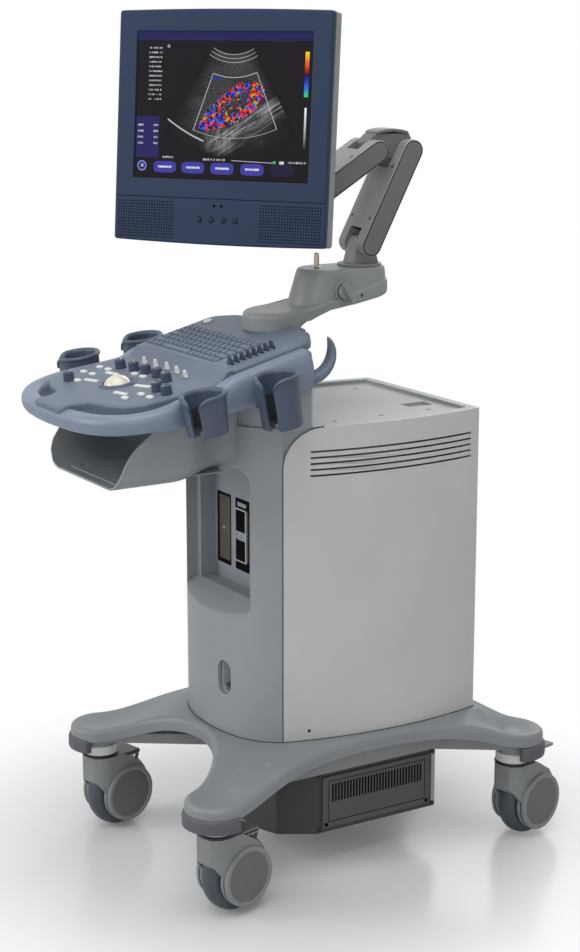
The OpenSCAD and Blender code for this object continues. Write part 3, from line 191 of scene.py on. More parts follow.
def mouldedFinish(name, colour, rough=0.45, grain=1400, relief=0.12, drift=0.06, scuff=0.0, coat=0.0,
                  gloss=0.5):
    # colour drifts with a broad cloud and a fine grain; roughness and a shallow bump follow the grain
    m = moulding
    sockets, coords = newFinish(name)
    broad = noise(coords, m["cloud"], 3.0)
    fine = noise(coords, grain)
    tone = (broad - 0.5) * m["cloudTone"] + (fine - 0.5) * m["grainTone"] + 0.5
    tint = tone.mix(toned(colour, 1 - drift), toned(colour, 1 + drift))
    shine = rough + (fine - 0.5) * m["grainShine"] + (broad - 0.5) * m["cloudShine"]
    if scuff:
        rub = coords.make("ShaderNodeMapping", {}, {"Vector": coords, "Scale": m["scuffScale"]})
        marks = (noise(rub, 1.0, 4.0) > m["scuffFrom"]) * scuff
        tint = marks.mix(tint, toned(colour, m["scuffTone"]))
        shine = shine + marks * m["scuffShine"]
    feed(sockets["Base Color"], tint)
    feed(sockets["Roughness"], shine)
    sockets["Specular IOR Level"].default_value = gloss
    sockets["Coat Weight"].default_value = coat
    addBump(sockets, coords, fine, relief, m["bump"])


brushing = {"scale": (1200, 60, 60), "noise": 3.0, "low": 0.86, "high": 1.08, "shine": 0.25, "relief": 0.1,
            "bump": 0.0002}


def metalFinish(name, colour, rough):
    # brushed metal: noise drawn out along one axis moves roughness, colour and bump
    m = brushing
    sockets, coords = newFinish(name)
    drawn = coords.make("ShaderNodeMapping", {}, {"Vector": coords, "Scale": m["scale"]})
    lines = noise(drawn, m["noise"], 3.0)
    feed(sockets["Base Color"], lines.mix(toned(colour, m["low"]), toned(colour, m["high"])))
    feed(sockets["Roughness"], rough + (lines - 0.5) * m["shine"])
    sockets["Metallic"].default_value = 1.0
    addBump(sockets, coords, lines, m["relief"], m["bump"])


plastics = {
    "base_grey": {"colour": (138, 143, 146), "rough": 0.42, "scuff": 0.25},
    "frame_white": {"colour": (142, 144, 144), "rough": 0.5},
    "bumper_dark": {"colour": (92, 93, 99), "rough": 0.6, "relief": 0.3},
    "box_dark": {"colour": (56, 58, 57), "rough": 0.5, "relief": 0.3, "grain": 900},
    "grille_dark": {"colour": (84, 86, 85), "rough": 0.5, "relief": 0.3, "grain": 900},
    "screw_black": {"colour": (30, 30, 33), "rough": 0.35},
    "caster_grey": {"colour": (138, 141, 141), "rough": 0.48, "scuff": 0.3},
    "caster_face": {"colour": (108, 110, 108), "rough": 0.5, "scuff": 0.3},
    "tyre_grey": {"colour": (66, 76, 85), "rough": 0.35, "drift": 0.12, "scuff": 0.35},
    "column_grey": {"colour": (150, 156, 161), "rough": 0.4},
    "neck_light": {"colour": (168, 171, 172), "rough": 0.42},
    "panel_light": {"colour": (204, 205, 203), "rough": 0.36},
    "bay_grey": {"colour": (146, 152, 158), "rough": 0.42},
    "fan_black": {"colour": (38, 38, 40), "rough": 0.5},
    "tray_grey": {"colour": (146, 151, 153), "rough": 0.42},
    "handle_blue": {"colour": (126, 138, 157), "rough": 0.38},
    "deck_blue": {"colour": (104, 116, 132), "rough": 0.5, "relief": 0.35, "grain": 1000, "drift": 0.09},
    "cup_blue": {"colour": (74, 86, 105), "rough": 0.42, "relief": 0.2},
    "key_grey": {"colour": (104, 116, 134), "rough": 0.5, "relief": 0.25},
    "key_white": {"colour": (226, 226, 224), "rough": 0.38},
    "knob_dark": {"colour": (58, 70, 90), "rough": 0.5, "relief": 0.25},
    "ball_ivory": {"colour": (228, 224, 206), "rough": 0.16, "relief": 0.0, "coat": 0.6},
    "arm_grey": {"colour": (146, 150, 149), "rough": 0.4, "relief": 0.2, "grain": 900},
    # arm_dark is a darker copy of arm_grey; on the links' side panels it is painted shade
    "arm_dark": {"colour": (110, 113, 110), "rough": 0.45, "relief": 0.25, "grain": 900},
    "bezel_blue": {"colour": (44, 57, 82), "rough": 0.55, "relief": 0.3, "grain": 1100, "drift": 0.08,
                   "gloss": 0.2},
    "case_grey": {"colour": (138, 143, 146), "rough": 0.42},
    "button_black": {"colour": (26, 30, 38), "rough": 0.3},
    "key_navy": {"colour": (30, 40, 58), "rough": 0.5, "gloss": 0.25},
    # inner_dark and hole_black also serve as painted shade: in the cups, behind the box's grille, in the
    # port openings and at the ends of the links' slots
    "inner_dark": {"colour": (42, 44, 46), "rough": 0.7},
    "hole_black": {"colour": (8, 9, 12), "rough": 0.9, "gloss": 0.1},
    "seam_dark": {"colour": (48, 50, 54), "rough": 0.7},
    "plate_tan": {"colour": (84, 77, 66), "rough": 0.45},
    "collar_white": {"colour": (224, 226, 224), "rough": 0.3},
}
for finishName, look in plastics.items():
    mouldedFinish(finishName, **look)
metals = {
    "port_metal": {"colour": (196, 192, 182), "rough": 0.32},
    "chassis_steel": {"colour": (170, 174, 178), "rough": 0.38},
    "supply_metal": {"colour": (160, 163, 166), "rough": 0.42},
    "pin_steel": {"colour": (186, 178, 166), "rough": 0.22},
}
for finishName, look in metals.items():
    metalFinish(finishName, **look)
print("stage: finishes,", len(finishes))


# mesh tools; every part is (points in mm, list of faces)
def circle(n):
    # n points of the unit circle
    a = np.arange(n) * 2 * math.pi / n
    return np.stack([np.cos(a), np.sin(a)], -1)


def smoothStep(t):
    # S-curve from 0 to 1
    return t * t * (3 - 2 * t)


def gridFaces(rows, cols):
    # quads of a grid of points whose last column joins the first
    u, v = np.meshgrid(np.arange(rows - 1), np.arange(cols), indexing="ij")
    w = (v + 1) % cols
    quads = [u * cols + v, u * cols + w, (u + 1) * cols + w, (u + 1) * cols + v]
    return np.stack(quads, -1).reshape(-1, 4).tolist()


def loft(rings):
    # closed rings (m, n, 3) joined one after another, both ends closed by one face
    m, n = rings.shape[:2]
    faces = gridFaces(m, n)
    faces.append(list(range(n))[::-1])
    faces.append(list(range((m - 1) * n, m * n)))
    return rings.reshape(-1, 3), faces


def lathe(profile, place, n=48):
    # profile rows (radius, height) turned about the axis of place
    profile = np.asarray(profile, float)
    flat = profile[:, :1, None] * circle(n)[None]
    high = np.broadcast_to(profile[:, 1, None, None], (len(profile), n, 1))
    return loft(place(np.concatenate([flat, high], -1)))


def bothFaces(profile, place, n):
    # the turned profile and its mirror image on the other side of the middle
    return [lathe([(r, side * h) for r, h in profile], place, n) for side in (1, -1)]


def turnedRing(profile, place, n):
    # closed profile turned about the axis of place until it meets itself
    profile = np.asarray(profile, float)
    flat = circle(n)[:, None] * profile[None, :, :1]
    high = np.broadcast_to(profile[None, :, 1:], (n, len(profile), 1))
    faces = np.array(gridFaces(n + 1, len(profile))) % (n * len(profile))
    return place(np.concatenate([flat, high], -1)).reshape(-1, 3), faces.tolist()


def superRing(n, power):
    # round ring for power 2, squarer with a higher power
    ring = circle(n)
    return np.sign(ring) * abs(ring) ** (2 / power)


def blockRings(high, halfX, halfY, n, power):
    # superellipse rings at the given heights, each with its own half sizes
    flat = superRing(n, power)[None] * np.stack([halfX, halfY], -1)[:, None]
    return np.concatenate([flat, np.broadcast_to(np.asarray(high)[:, None, None], (len(high), n, 1))], -1)


def tube(path, side, up, halfW, halfH, power=2.0, n=32):
    # ring with half sizes halfW along side and halfH along up, carried along a path
    ring = superRing(n, power)
    wide = halfW[:, None, None] * ring[None, :, :1] * side[:, None]
    return loft(path[:, None] + wide + halfH[:, None, None] * ring[None, :, 1:] * up[:, None])


def smoothPath(points, n, rounds=4):
    # points joined by straight runs, smoothed by repeated corner cutting, spaced evenly
    p = np.asarray(points, float)
    for _ in range(rounds):
        cuts = [p[:-1] * 0.75 + p[1:] * 0.25, p[:-1] * 0.25 + p[1:] * 0.75]
        p = np.concatenate([p[:1], np.stack(cuts, 1).reshape(-1, p.shape[1]), p[-1:]])
    gone = np.concatenate([[0], np.cumsum(np.linalg.norm(np.diff(p, axis=0), axis=1))])
    at = np.linspace(0, gone[-1], n)
    return np.stack([np.interp(at, gone, p[:, k]) for k in range(p.shape[1])], -1)


def roundCorners(points, radii, n=8):
    # closed outline whose corners are replaced by arcs of the given radii
    p = np.asarray(points, float)
    radii = np.broadcast_to(np.asarray(radii, float), len(p))
    before, after = np.roll(p, 1, 0) - p, np.roll(p, -1, 0) - p
    lb, la = np.linalg.norm(before, axis=1), np.linalg.norm(after, axis=1)
    before, after = before / lb[:, None], after / la[:, None]
    half = np.arccos(np.clip((before * after).sum(1), -1, 1)) / 2
    cut = np.minimum(radii / np.tan(half), 0.49 * np.minimum(lb, la))
    r = cut * np.tan(half)
    mid = before + after
    mid /= np.linalg.norm(mid, axis=1)[:, None]
    centre = p + mid * (r / np.sin(half))[:, None]
    start, end = p + before * cut[:, None] - centre, p + after * cut[:, None] - centre
    a0 = np.arctan2(start[:, 1], start[:, 0])
    turn = (np.arctan2(end[:, 1], end[:, 0]) - a0 + math.pi) % (2 * math.pi) - math.pi
    a = a0[:, None] + turn[:, None] * np.linspace(0, 1, n)[None]
    return (centre[:, None] + r[:, None, None] * np.stack([np.cos(a), np.sin(a)], -1)).reshape(-1, 2)


def dense(loop, gap):
    # extra points on runs longer than gap
    ahead = np.roll(loop, -1, 0)
    counts = np.maximum(np.ceil(np.linalg.norm(ahead - loop, axis=1) / gap), 1).astype(int)
    runs = [a + (b - a) * (np.arange(k) / k)[:, None] for a, b, k in zip(loop, ahead, counts)]
    return np.concatenate(runs)


def area(loop):
    # half the sum of cross products, positive for a counter-clockwise loop
    x, y = loop.T
    return 0.5 * (x * np.roll(y, -1) - y * np.roll(x, -1)).sum()


def inward(loop):
    # miter directions that draw a counter-clockwise loop in, and a clockwise one out
    edge = np.roll(loop, -1, 0) - loop
    edge /= np.maximum(np.linalg.norm(edge, axis=1), 1e-9)[:, None]
    normal = np.stack([-edge[:, 1], edge[:, 0]], -1)
    both = normal + np.roll(normal, 1, 0)
    return both / np.maximum((both * normal).sum(1), 0.3)[:, None]


def inside(points, loops):
    # even-odd test of points against a set of loops
    found = np.zeros(len(points), bool)
    x, y = points[:, :1], points[:, 1:]
    for loop in loops:
        ax, ay = loop[None, :, 0], loop[None, :, 1]
        bx, by = np.roll(ax, -1, 1), np.roll(ay, -1, 1)
        over = (ay > y) != (by > y)
        cross = ax + (bx - ax) * (y - ay) / np.where(by == ay, 1e-9, by - ay)
        found ^= ((over & (x < cross)).sum(1) % 2).astype(bool)
    return found


def fill(loops, extra):
    # triangles between loops, through the extra points
    points = np.concatenate(loops + [extra])
    edges, start = [], 0
    for loop in loops:
        index = np.arange(len(loop))
        edges += (start + np.stack([index, (index + 1) % len(loop)], -1)).tolist()
        start += len(loop)
    faces, origin = delaunay_2d_cdt([Vector(p) for p in points.tolist()], edges, [], 0, 1e-6)[2:4]
    back = np.array([o[0] if o else -1 for o in origin])
    tri = back[np.array(faces)]
    tri = tri[(tri >= 0).all(1)]
    return tri[inside(points[tri].mean(1), loops)]


def plate(loops, layers, place, step=0):
    # outline with holes drawn through layers of (inset, depth); the last layer is the front face, filled
    # by triangles (with a grid of points every step mm where place bends it), the first one the back
    loops = [l if (area(l) > 0) == (k == 0) else l[::-1] for k, l in enumerate(loops)]
    if not isinstance(layers[0][0], (tuple, list)):
        layers = [layers] * len(loops)
    points, faces, fronts, backs, count = [], [], [], [], 0
    for loop, steps in zip(loops, layers):
        pull = inward(loop)
        rings = np.stack([np.column_stack([loop + pull * i, np.full(len(loop), d)]) for i, d in steps])
        m, n = rings.shape[:2]
        points.append(rings.reshape(-1, 3))
        faces += (np.array(gridFaces(m, n)) + count).tolist()
        backs.append((count, rings[0]))
        fronts.append((count + (m - 1) * n, rings[-1]))
        count += m * n
    for caps, turned in ((fronts, False), (backs, True)):
        edge = [ring[:, :2] for _, ring in caps]
        extra = np.zeros((0, 2))
        if step:
            low, high = edge[0].min(0), edge[0].max(0)
            gx, gy = np.meshgrid(np.arange(low[0], high[0], step), np.arange(low[1], high[1], step))
            extra = np.stack([gx.ravel(), gy.ravel()], -1)
            near = np.concatenate(edge)
            gap = np.sqrt(((extra[:, None] - near[None]) ** 2).sum(-1)).min(1)
            extra = extra[inside(extra, edge) & (gap > 0.45 * step)]
        index = [start + np.arange(len(ring)) for start, ring in caps] + [count + np.arange(len(extra))]
        if len(extra):
            points.append(np.column_stack([extra, np.full(len(extra), caps[0][1][0, 2])]))
            count += len(extra)
        tri = np.concatenate(index).astype(int)[fill(edge, extra)]
        faces += (tri[:, ::-1] if turned else tri).tolist()
    return place(np.concatenate(points)), faces


def platePair(loop, layers, place):
    # the same plate on both sides of the middle plane
    return [plate([loop], [(inset, side * depth) for inset, depth in layers], place) for side in (1, -1)]


def straight(back, front):
    # layers of a plate with square edges
    return [(0, back), (0, front)]


def edgeRound(back, front, radius, n=5):
    # layers of a plate from back to front whose front edge is a quarter round
    s = 1 if front > back else -1
    a = np.linspace(0, math.pi / 2, n + 1)
    rows = [(radius * (1 - math.cos(t)), front - s * radius * (1 - math.sin(t))) for t in a]
    return [(0, back)] + rows


def bothRound(back, front, radius, n=4):
    # layers of a plate with both its edges rounded
    s = 1 if front > back else -1
    a = np.linspace(0, math.pi / 2, n + 1)
    low = [(radius * (1 - math.sin(t)), back + s * radius * (1 - math.cos(t))) for t in a]
    return low + edgeRound(back, front, radius, n)[1:]


def box2(x0, x1, y0, y1):
    # outline of a rectangle
    return np.array([[x0, y0], [x1, y0], [x1, y1], [x0, y1]], float)


def disc2(x, y, r, n=24):
    # outline of a circle
    return circle(n) * r + (x, y)


def pill2(a, b, r, n=14):
    # bar with round ends from a to b
    a, b = np.asarray(a, float), np.asarray(b, float)
    turn = math.atan2(*(b - a)[::-1])
    half = np.linspace(-math.pi / 2, math.pi / 2, n)
    ends = ((b, half + turn), (a, half + turn + math.pi))
    return np.concatenate([c + r * np.stack([np.cos(t), np.sin(t)], -1) for c, t in ends])


def turnX(p, degrees):
    # turned about the x axis
    c, s = math.cos(math.radians(degrees)), math.sin(math.radians(degrees))
    x, y, z = np.moveaxis(np.asarray(p, float), -1, 0)
    return np.stack([x, y * c - z * s, y * s + z * c], -1)


def turnZ(p, degrees):
    # turned about the z axis
    c, s = math.cos(math.radians(degrees)), math.sin(math.radians(degrees))
    x, y, z = np.moveaxis(np.asarray(p, float), -1, 0)
    return np.stack([x * c - y * s, x * s + y * c, z], -1)


# where the leaning and turned groups stand, in degrees and mm
stand = {
    "deck": {"lean": 8.5, "at": (0, -304, 827.5)},
    "keys": {"lean": 14, "at": (0, -189, 859)},
    "links": {"turn": -8, "axis": (0, 148, 0)},
    "monitor": {"lean": -5.6, "turn": 33.7, "at": (20, -125, 1251)},
    "yoke": {"turn": 33.7, "at": (-24.95, -29.56, 0)},
}
sideView = [2, 0, 1]  # outline in y and z, depth along x
frontView = [0, 2, 1]  # outline in x and z, depth along y


def plain(p):
    # where it is
    return np.asarray(p, float)


def onDeck(p):
    # leaning with the control deck, depth out of its face
    return turnX(p, stand["deck"]["lean"]) + stand["deck"]["at"]


def onKeys(p):
    # leaning with the keyboard slab
    return turnX(p, stand["keys"]["lean"]) + stand["keys"]["at"]


def onLinks(p):
    # turned about the turret's axis
    return turnZ(plain(p) - stand["links"]["axis"], stand["links"]["turn"]) + stand["links"]["axis"]


def onMonitor(p):
    # leaning and turned about the screen's middle
    return turnZ(turnX(p, stand["monitor"]["lean"]), stand["monitor"]["turn"]) + stand["monitor"]["at"]


def onYoke(p):
    # turned about the yoke's axis
    return turnZ(p, stand["yoke"]["turn"]) + stand["yoke"]["at"]


def across(place, order):
    # the same place with its axes taken in another order
    return lambda p: place(plain(p)[..., order])


def shifted(place, x, y, z=0.0, turn=0.0):
    # the same place, turned about its own z axis and moved
    return lambda p: place(turnZ(p, turn) + (x, y, z))


def facing(x, y, z, out):
    # outline in x and z, depth along y: out is -1 towards the operator and 1 towards the rear
    return lambda p: np.stack([p[..., 0] + x, y + out * p[..., 2], p[..., 1] + z], -1)


def placed(part, place):
    # a part made flat, put in its place
    return place(part[0]), part[1]


def addPiece(name, parts, body, finish, replaced=(), angle=38):
    # joins parts into one mesh whose faces point outwards
    parts = parts if isinstance(parts, list) else [parts]
    starts = np.cumsum([0] + [len(p) for p, _ in parts])
    points = np.concatenate([p for p, _ in parts]) * 0.001
    faces = [[i + s for i in f] for (_, fs), s in zip(parts, starts) for f in fs]
    mesh = bpy.data.meshes.new(name)
    mesh.from_pydata(points.tolist(), [], faces)
    shell = bmesh.new()
    shell.from_mesh(mesh)
    bmesh.ops.remove_doubles(shell, verts=shell.verts, dist=1e-6)
    bmesh.ops.recalc_face_normals(shell, faces=shell.faces)
    shell.to_mesh(mesh)
    shell.free()
    return finishPiece(name, mesh, body, finish, replaced, angle)


def finishPiece(name, mesh, body, finish, replaced, angle, bevel=0.0):
    # shading, finish, modifiers, and the body that the piece rides on
    mesh.polygons.foreach_set("use_smooth", np.ones(len(mesh.polygons), bool))
    mesh.set_sharp_from_angle(angle=math.radians(angle))
    dress(mesh, finish)
    piece = bpy.data.objects.new(name, mesh)
    scene.collection.objects.link(piece)
    if bevel:
        edge = piece.modifiers.new("edgeRound", "BEVEL")
        edge.width = bevel * 0.001
        edge.segments = 3
        edge.limit_method = "ANGLE"
        edge.angle_limit = math.radians(angle)
    piece.modifiers.new("evenShade", "WEIGHTED_NORMAL").keep_sharp = True
    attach(piece, body)
    if replaced:
        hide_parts(*replaced)
    return piece


def dress(mesh, finish):
    # one finish all over
    mesh.materials.clear()
    mesh.materials.append(finishes[finish])


def softCopy(node, finish, bevel, angle=30):
    # copy of a CAD node with flat faces merged and its sharp edges rounded
    mesh = frame["nodes"][node].data.copy()
    shell = bmesh.new()
    shell.from_mesh(mesh)
    bmesh.ops.remove_doubles(shell, verts=shell.verts, dist=1e-6)
    bmesh.ops.dissolve_limit(shell, angle_limit=math.radians(0.6), verts=shell.verts, edges=shell.edges)
    shell.to_mesh(mesh)
    shell.free()
    finishPiece(node + "_soft", mesh, nodeBody[node], finish, [node], angle, bevel)


# every CAD node that stays gets a finish of its own
nodeFinish = {
    "base_frame": "frame_white", "inner_chassis": "chassis_steel", "power_supply": "supply_metal",
    "cooling_fan": "fan_black", "lcd_panel": "button_black",
}
for nodeName, finishName in nodeFinish.items():
    dress(frame["nodes"][nodeName].data, finishName)

# nodes whose shape is right: same shape, with edges rounded by a width in mm
softNodes = {
    "transformer_box": ("box_dark", 0.8), "cover_screws": ("screw_black", 0.5),
    "front_column": ("column_grey", 1.2), "neck_cover": ("neck_light", 0.8),
    "connector_bay": ("bay_grey", 1.2), "side_panel_left": ("panel_light", 1.2),
    "side_panel_right": ("panel_light", 1.2), "top_cover": ("neck_light", 1.5),
    "rear_cover": ("panel_light", 1.2), "power_button": ("key_white", 1.0),
    "brake_pedal_rl": ("caster_grey", 1.0), "brake_pedal_rr": ("caster_grey", 1.0),
    "caster_fork_fl": ("caster_grey", 2.0), "caster_fork_fr": ("caster_grey", 2.0),
    "caster_fork_rl": ("caster_grey", 1.5), "caster_fork_rr": ("caster_grey", 1.5),
}
for nodeName, (finishName, width) in softNodes.items():
    softCopy(nodeName, finishName, width)
print("stage: softened nodes,", len(softNodes))

# base cover, casters and the box under the base
bodyShape = {"front": -149, "frontR": 300, "cornerR": 110, "seam": (143, -89), "mid": (178, 93),
             "rear": (163, 281), "points": (14, 12, 34)}


def circleThrough(a, b, c):
    # centre and radius of the circle through three points
    m = 2 * np.array([[b[0] - a[0], b[1] - a[1]], [c[0] - a[0], c[1] - a[1]]], float)
    sq = [p[0] ** 2 + p[1] ** 2 for p in (a, b, c)]
    centre = np.linalg.solve(m, [sq[1] - sq[0], sq[2] - sq[0]])
    return centre, math.dist(centre, a)


sideMid, sideR = circleThrough(bodyShape["seam"], bodyShape["mid"], bodyShape["rear"])


def sideX(y, inset=0.0):
    # distance of the body's side arc from the middle plane
    return sideMid[0] + np.sqrt((sideR - inset) ** 2 - (y - sideMid[1]) ** 2)


def bodyPlan(inset=0.0):
    # right half: shallow front arc, corner arc to the seam, side arc to the rear; then its mirror image
    s, r0, r1 = bodyShape, bodyShape["frontR"], bodyShape["cornerR"]
    top = s["front"] + r0
    d, e = r0 - r1, np.array([s["seam"][0], top - s["seam"][1]])
    turn = math.atan2(*e) - math.acos((d * d + e @ e - r1 * r1) / (2 * d * math.hypot(*e)))
    corner = np.array([d * math.sin(turn), top - d * math.cos(turn)])
    a = np.linspace(0, turn, s["points"][0])[:-1]
    front = np.stack([(r0 - inset) * np.sin(a), top - (r0 - inset) * np.cos(a)], -1)
    last = math.atan2(s["seam"][0] - corner[0], corner[1] - s["seam"][1])
    b = np.linspace(turn, last, s["points"][1])[:-1]
    bend = corner + (r1 - inset) * np.stack([np.sin(b), -np.cos(b)], -1)
    y = np.linspace(s["seam"][1], s["rear"][1] - inset, s["points"][2])
    half = np.concatenate([front, bend, np.stack([sideX(y, inset), y], -1)])
    return np.concatenate([half, (half * (-1, 1))[:0:-1]])


def distanceTo(points, loop):
    # distance from points to a closed outline, nought inside it
    a, d = loop, np.roll(loop, -1, 0) - loop
    t = np.clip(((points[:, None] - a) * d).sum(-1) / (d * d).sum(-1), 0, 1)
    gap = np.linalg.norm(points[:, None] - a - t[..., None] * d, axis=-1).min(1)
    return np.where(inside(points, [loop]), 0, gap)


baseShape = {"x": 204, "y": (-249, 338), "tipR": 50, "topZ": 236, "tipZ": 192, "frontGap": -164,
             "rearGap": 296, "sideGap": 193, "level": 4, "tipLevel": 12, "evenFall": 0.45, "tipPoints": 40,
             "gapPoints": 60, "skirt": [(3, -24), (0.8, -23.6), (0, -22.6)], "edge": (-15, -0.1, 9.5, 7)}
midY = sum(baseShape["y"]) / 2
halfY = (baseShape["y"][1] - baseShape["y"][0]) / 2
tips = {"fl": (-204, -249), "fr": (204, -249), "rl": (-204, 338), "rr": (204, 338)}


def gapRadius(along, beyond, r):
    # radius of the hollow arc that touches two tip circles and passes through the apex between them
    return (along ** 2 + beyond ** 2 - r ** 2) / (2 * (r + beyond))


def arcFrom(centre, r, start, end, sense, n):
    # arc about centre from the direction of start to that of end, its last point left out
    a0, a1 = math.atan2(*start[::-1]), math.atan2(*end[::-1])
    a = a0 + sense * np.linspace(0, (sense * (a1 - a0)) % (2 * math.pi), n)[:-1]
    return centre + r * np.stack([np.cos(a), np.sin(a)], -1)


def basePlan():
    # four tip arcs joined by hollow arcs
    s, r = baseShape, baseShape["tipR"]
    gf = gapRadius(s["x"], s["frontGap"] - s["y"][0], r)
    gr = gapRadius(s["x"], s["y"][1] - s["rearGap"], r)
    gs = gapRadius(halfY, s["x"] - s["sideGap"], r)
    gapR = [gf, gs, gr, gs]
    gaps = np.array([(0, s["frontGap"] - gf), (s["sideGap"] + gs, midY), (0, s["rearGap"] + gr),
                     (-s["sideGap"] - gs, midY)])
    order = np.array([tips["fr"], tips["rr"], tips["rl"], tips["fl"]])
    rows = []
    for k, tip in enumerate(order):
        after = (k + 1) % 4
        rows.append(arcFrom(tip, r, gaps[k] - tip, gaps[after] - tip, 1, s["tipPoints"]))
        c = gaps[after]
        rows.append(arcFrom(c, gapR[after], tip - c, order[after] - c, -1, s["gapPoints"]))
    return np.concatenate(rows)


bodyLoop = bodyPlan()


def onRoof(p):
    # level round the body, falling along each leg by its share of the way from body to tip
    s = baseShape
    p = plain(p)
    away = np.maximum(distanceTo(p[:, :2], bodyLoop) - s["level"], 0)
    tip = np.min([np.hypot(p[:, 0] - x, p[:, 1] - y) for x, y in tips.values()], axis=0)
    share = away / (away + np.maximum(tip - s["tipLevel"], 0) + 1e-6)
    fall = (s["evenFall"] * share + (1 - s["evenFall"]) * smoothStep(share)) * (s["topZ"] - s["tipZ"])
    return np.concatenate([p[:, :2], (s["topZ"] - fall + p[:, 2])[:, None]], 1)


baseLayers = baseShape["skirt"] + edgeRound(*baseShape["edge"])[1:]
baseCover = plate([basePlan()], baseLayers, onRoof, 9)
addPiece("baseCover", baseCover, "cart", "base_grey", ["base_cover"], angle=50)
bodySeam = {"inset": (-1.2, 3), "z": (235, 236.8)}
seamRing = [bodyPlan(inset) for inset in bodySeam["inset"]]
addPiece("bodySeam", plate(seamRing, straight(*bodySeam["z"]), plain), "cart", "seam_dark")

bumper = {"inner": 43, "reach": 78, "points": 49, "endPower": 24,
          "profile": [(43, 153.6), (51.5, 153.6), (53.6, 155), (54.3, 158), (54.2, 172), (53.2, 175.6),
                      (51, 177.6), (43, 178)]}


def bumperAt(x, y):
    # profile carried round the tip between two end angles, drawn in at both ends
    b = np.array(bumper["profile"], float)
    way = np.linspace(-1, 1, bumper["points"])[:, None]
    a = np.radians(way * bumper["reach"]) + math.atan2(y - midY, x)
    thin = np.sqrt(np.clip(1 - np.abs(way) ** bumper["endPower"], 0.02, 1))
    r = bumper["inner"] + (b[None, :, 0] - bumper["inner"]) * thin
    high = np.broadcast_to(b[None, :, 1], r.shape)
    return loft(np.stack([x + r * np.cos(a), y + r * np.sin(a), high], -1))


bumpers = [bumperAt(*tip) for tip in tips.values()]
addPiece("tipBumpers", bumpers, "cart", "bumper_dark", ["leg_bumpers"], angle=50)

# profiles are (radius, distance from the wheel's middle), or (radius, height) on the stem
caster = {
    "turn": 13, "trail": 38, "wheelR": 62.5,
    "disc": [(49, 29.4), (49.6, 30.4), (49.6, 34), (49, 35.8), (47.4, 36.9), (44.6, 37.2), (42.6, 36.6),
             (41.6, 35.4), (40, 35.2), (4, 35.2)],
    "middle": [(41.2, 34.8), (41.2, 35.5), (20, 36.6), (3, 37)],
    "groove": [(48.6, 27.2), (49.4, 27.6), (49.4, 29.6), (48, 29.8)],
    "tread": [(7, -16.5), (43.5, -16.5), (45, -18), (52, -18), (56.5, -15.8), (60, -11.5), (62, -6),
              (62.5, 0)],
    "collar": [(29.4, 142.5), (30, 143.5), (30, 156), (29, 158), (26, 158.2)],
    "ring": [(30.4, 137.5), (31.6, 138.5), (31.6, 141.3), (30.4, 142.3)],
}
hood = {
    "roof": [(18, 127.6), (64, 127.6), (67, 132), (66, 136.8), (18, 136.8)], "roofR": [1, 2, 3, 3, 1],
    "cheek": [(18, 102), (50, 102), (59, 110), (65, 131), (18, 131)], "cheekR": [1, 6, 4, 1, 1],
    "roofX": (-28.8, 28.8), "cheekX": ((20.6, 28.8), (-28.8, -20.6)), "roofEdge": 2, "cheekEdge": 1.5,
}
roofLoop = roundCorners(hood["roof"], hood["roofR"], 5)
cheekLoop = roundCorners(hood["cheek"], hood["cheekR"], 5)
treadProfile = caster["tread"] + [(r, -h) for r, h in caster["tread"][-2::-1]]
for key, tip in tips.items():
    body = "caster_" + key
    inCaster = shifted(plain, *tip, 0, caster["turn"])
    onAxle = across(shifted(inCaster, 0, caster["trail"], caster["wheelR"]), sideView)
    addPiece("casterDiscs_" + key, bothFaces(caster["disc"], onAxle, 72), body, "caster_grey", angle=30)
    addPiece("discMiddles_" + key, bothFaces(caster["middle"], onAxle, 64), body, "caster_face")
    if key in ("fl", "fr"):
        inFork = across(inCaster, sideView)
        hoodParts = [plate([roofLoop], bothRound(*hood["roofX"], hood["roofEdge"]), inFork)]
        hoodParts += [plate([cheekLoop], bothRound(*x, hood["cheekEdge"]), inFork) for x in hood["cheekX"]]
        addPiece("forkHood_" + key, hoodParts, body, "caster_grey", angle=45)
    addPiece("discGrooves_" + key, bothFaces(caster["groove"], onAxle, 64), body, "seam_dark")
    tyre = lathe(treadProfile, onAxle, 96)
    addPiece("casterTyre_" + key, tyre, "wheel_" + key, "tyre_grey", ["caster_wheel_" + key], angle=50)
    addPiece("swivelCollar_" + key, lathe(caster["collar"], inCaster, 64), body, "collar_white")
    addPiece("swivelRing_" + key, lathe(caster["ring"], inCaster, 64), body, "screw_black")

boxFace = across(plain, sideView)
grille = {"y": (-11, 207), "z": (68, 158), "x": (140, 143), "slots": 31, "margin": 20, "slotW": 3.4,
          "slotZ": (112, 144), "shade": (4, 192, 108, 148), "shadeX": (138.6, 142.1),
          "line": (0, 196, 78, 150), "lineW": 1.2, "lineX": (142.5, 143.15),
          "screwY": (-4, 199.5), "screwZ": 74, "screw": [(3.4, 142.5), (3.4, 143.6), (2.7, 144), (0, 144)],
          "strip": (211, 218.5, 63, 163), "stripX": (139, 141.4)}
slotY = np.linspace(grille["y"][0] + grille["margin"], grille["y"][1] - grille["margin"], grille["slots"])
halfSlot = grille["slotW"] / 2
slots = [roundCorners(box2(y - halfSlot, y + halfSlot, *grille["slotZ"]), 1.2, 4) for y in slotY]
outer = roundCorners(box2(*grille["y"], *grille["z"]), 2.5, 5)
grilleLayers = [edgeRound(*grille["x"], 0.8, 3)] + [edgeRound(*grille["x"], 0.4, 2)] * len(slots)
grillePlate = plate([outer] + slots, grilleLayers, boxFace)
addPiece("boxGrille", grillePlate, "cart", "grille_dark", ["box_grille"], angle=40)
# black sheet just behind the slots: painted shade of the box's inside
shade = plate([box2(*grille["shade"])], straight(*grille["shadeX"]), boxFace)
addPiece("grilleShade", shade, "cart", "hole_black")
lineIn = np.array([1, -1, 1, -1]) * grille["lineW"]
frameLine = [box2(*grille["line"]), box2(*(lineIn + grille["line"]))]
addPiece("grilleLine", plate(frameLine, straight(*grille["lineX"]), boxFace), "cart", "hole_black")
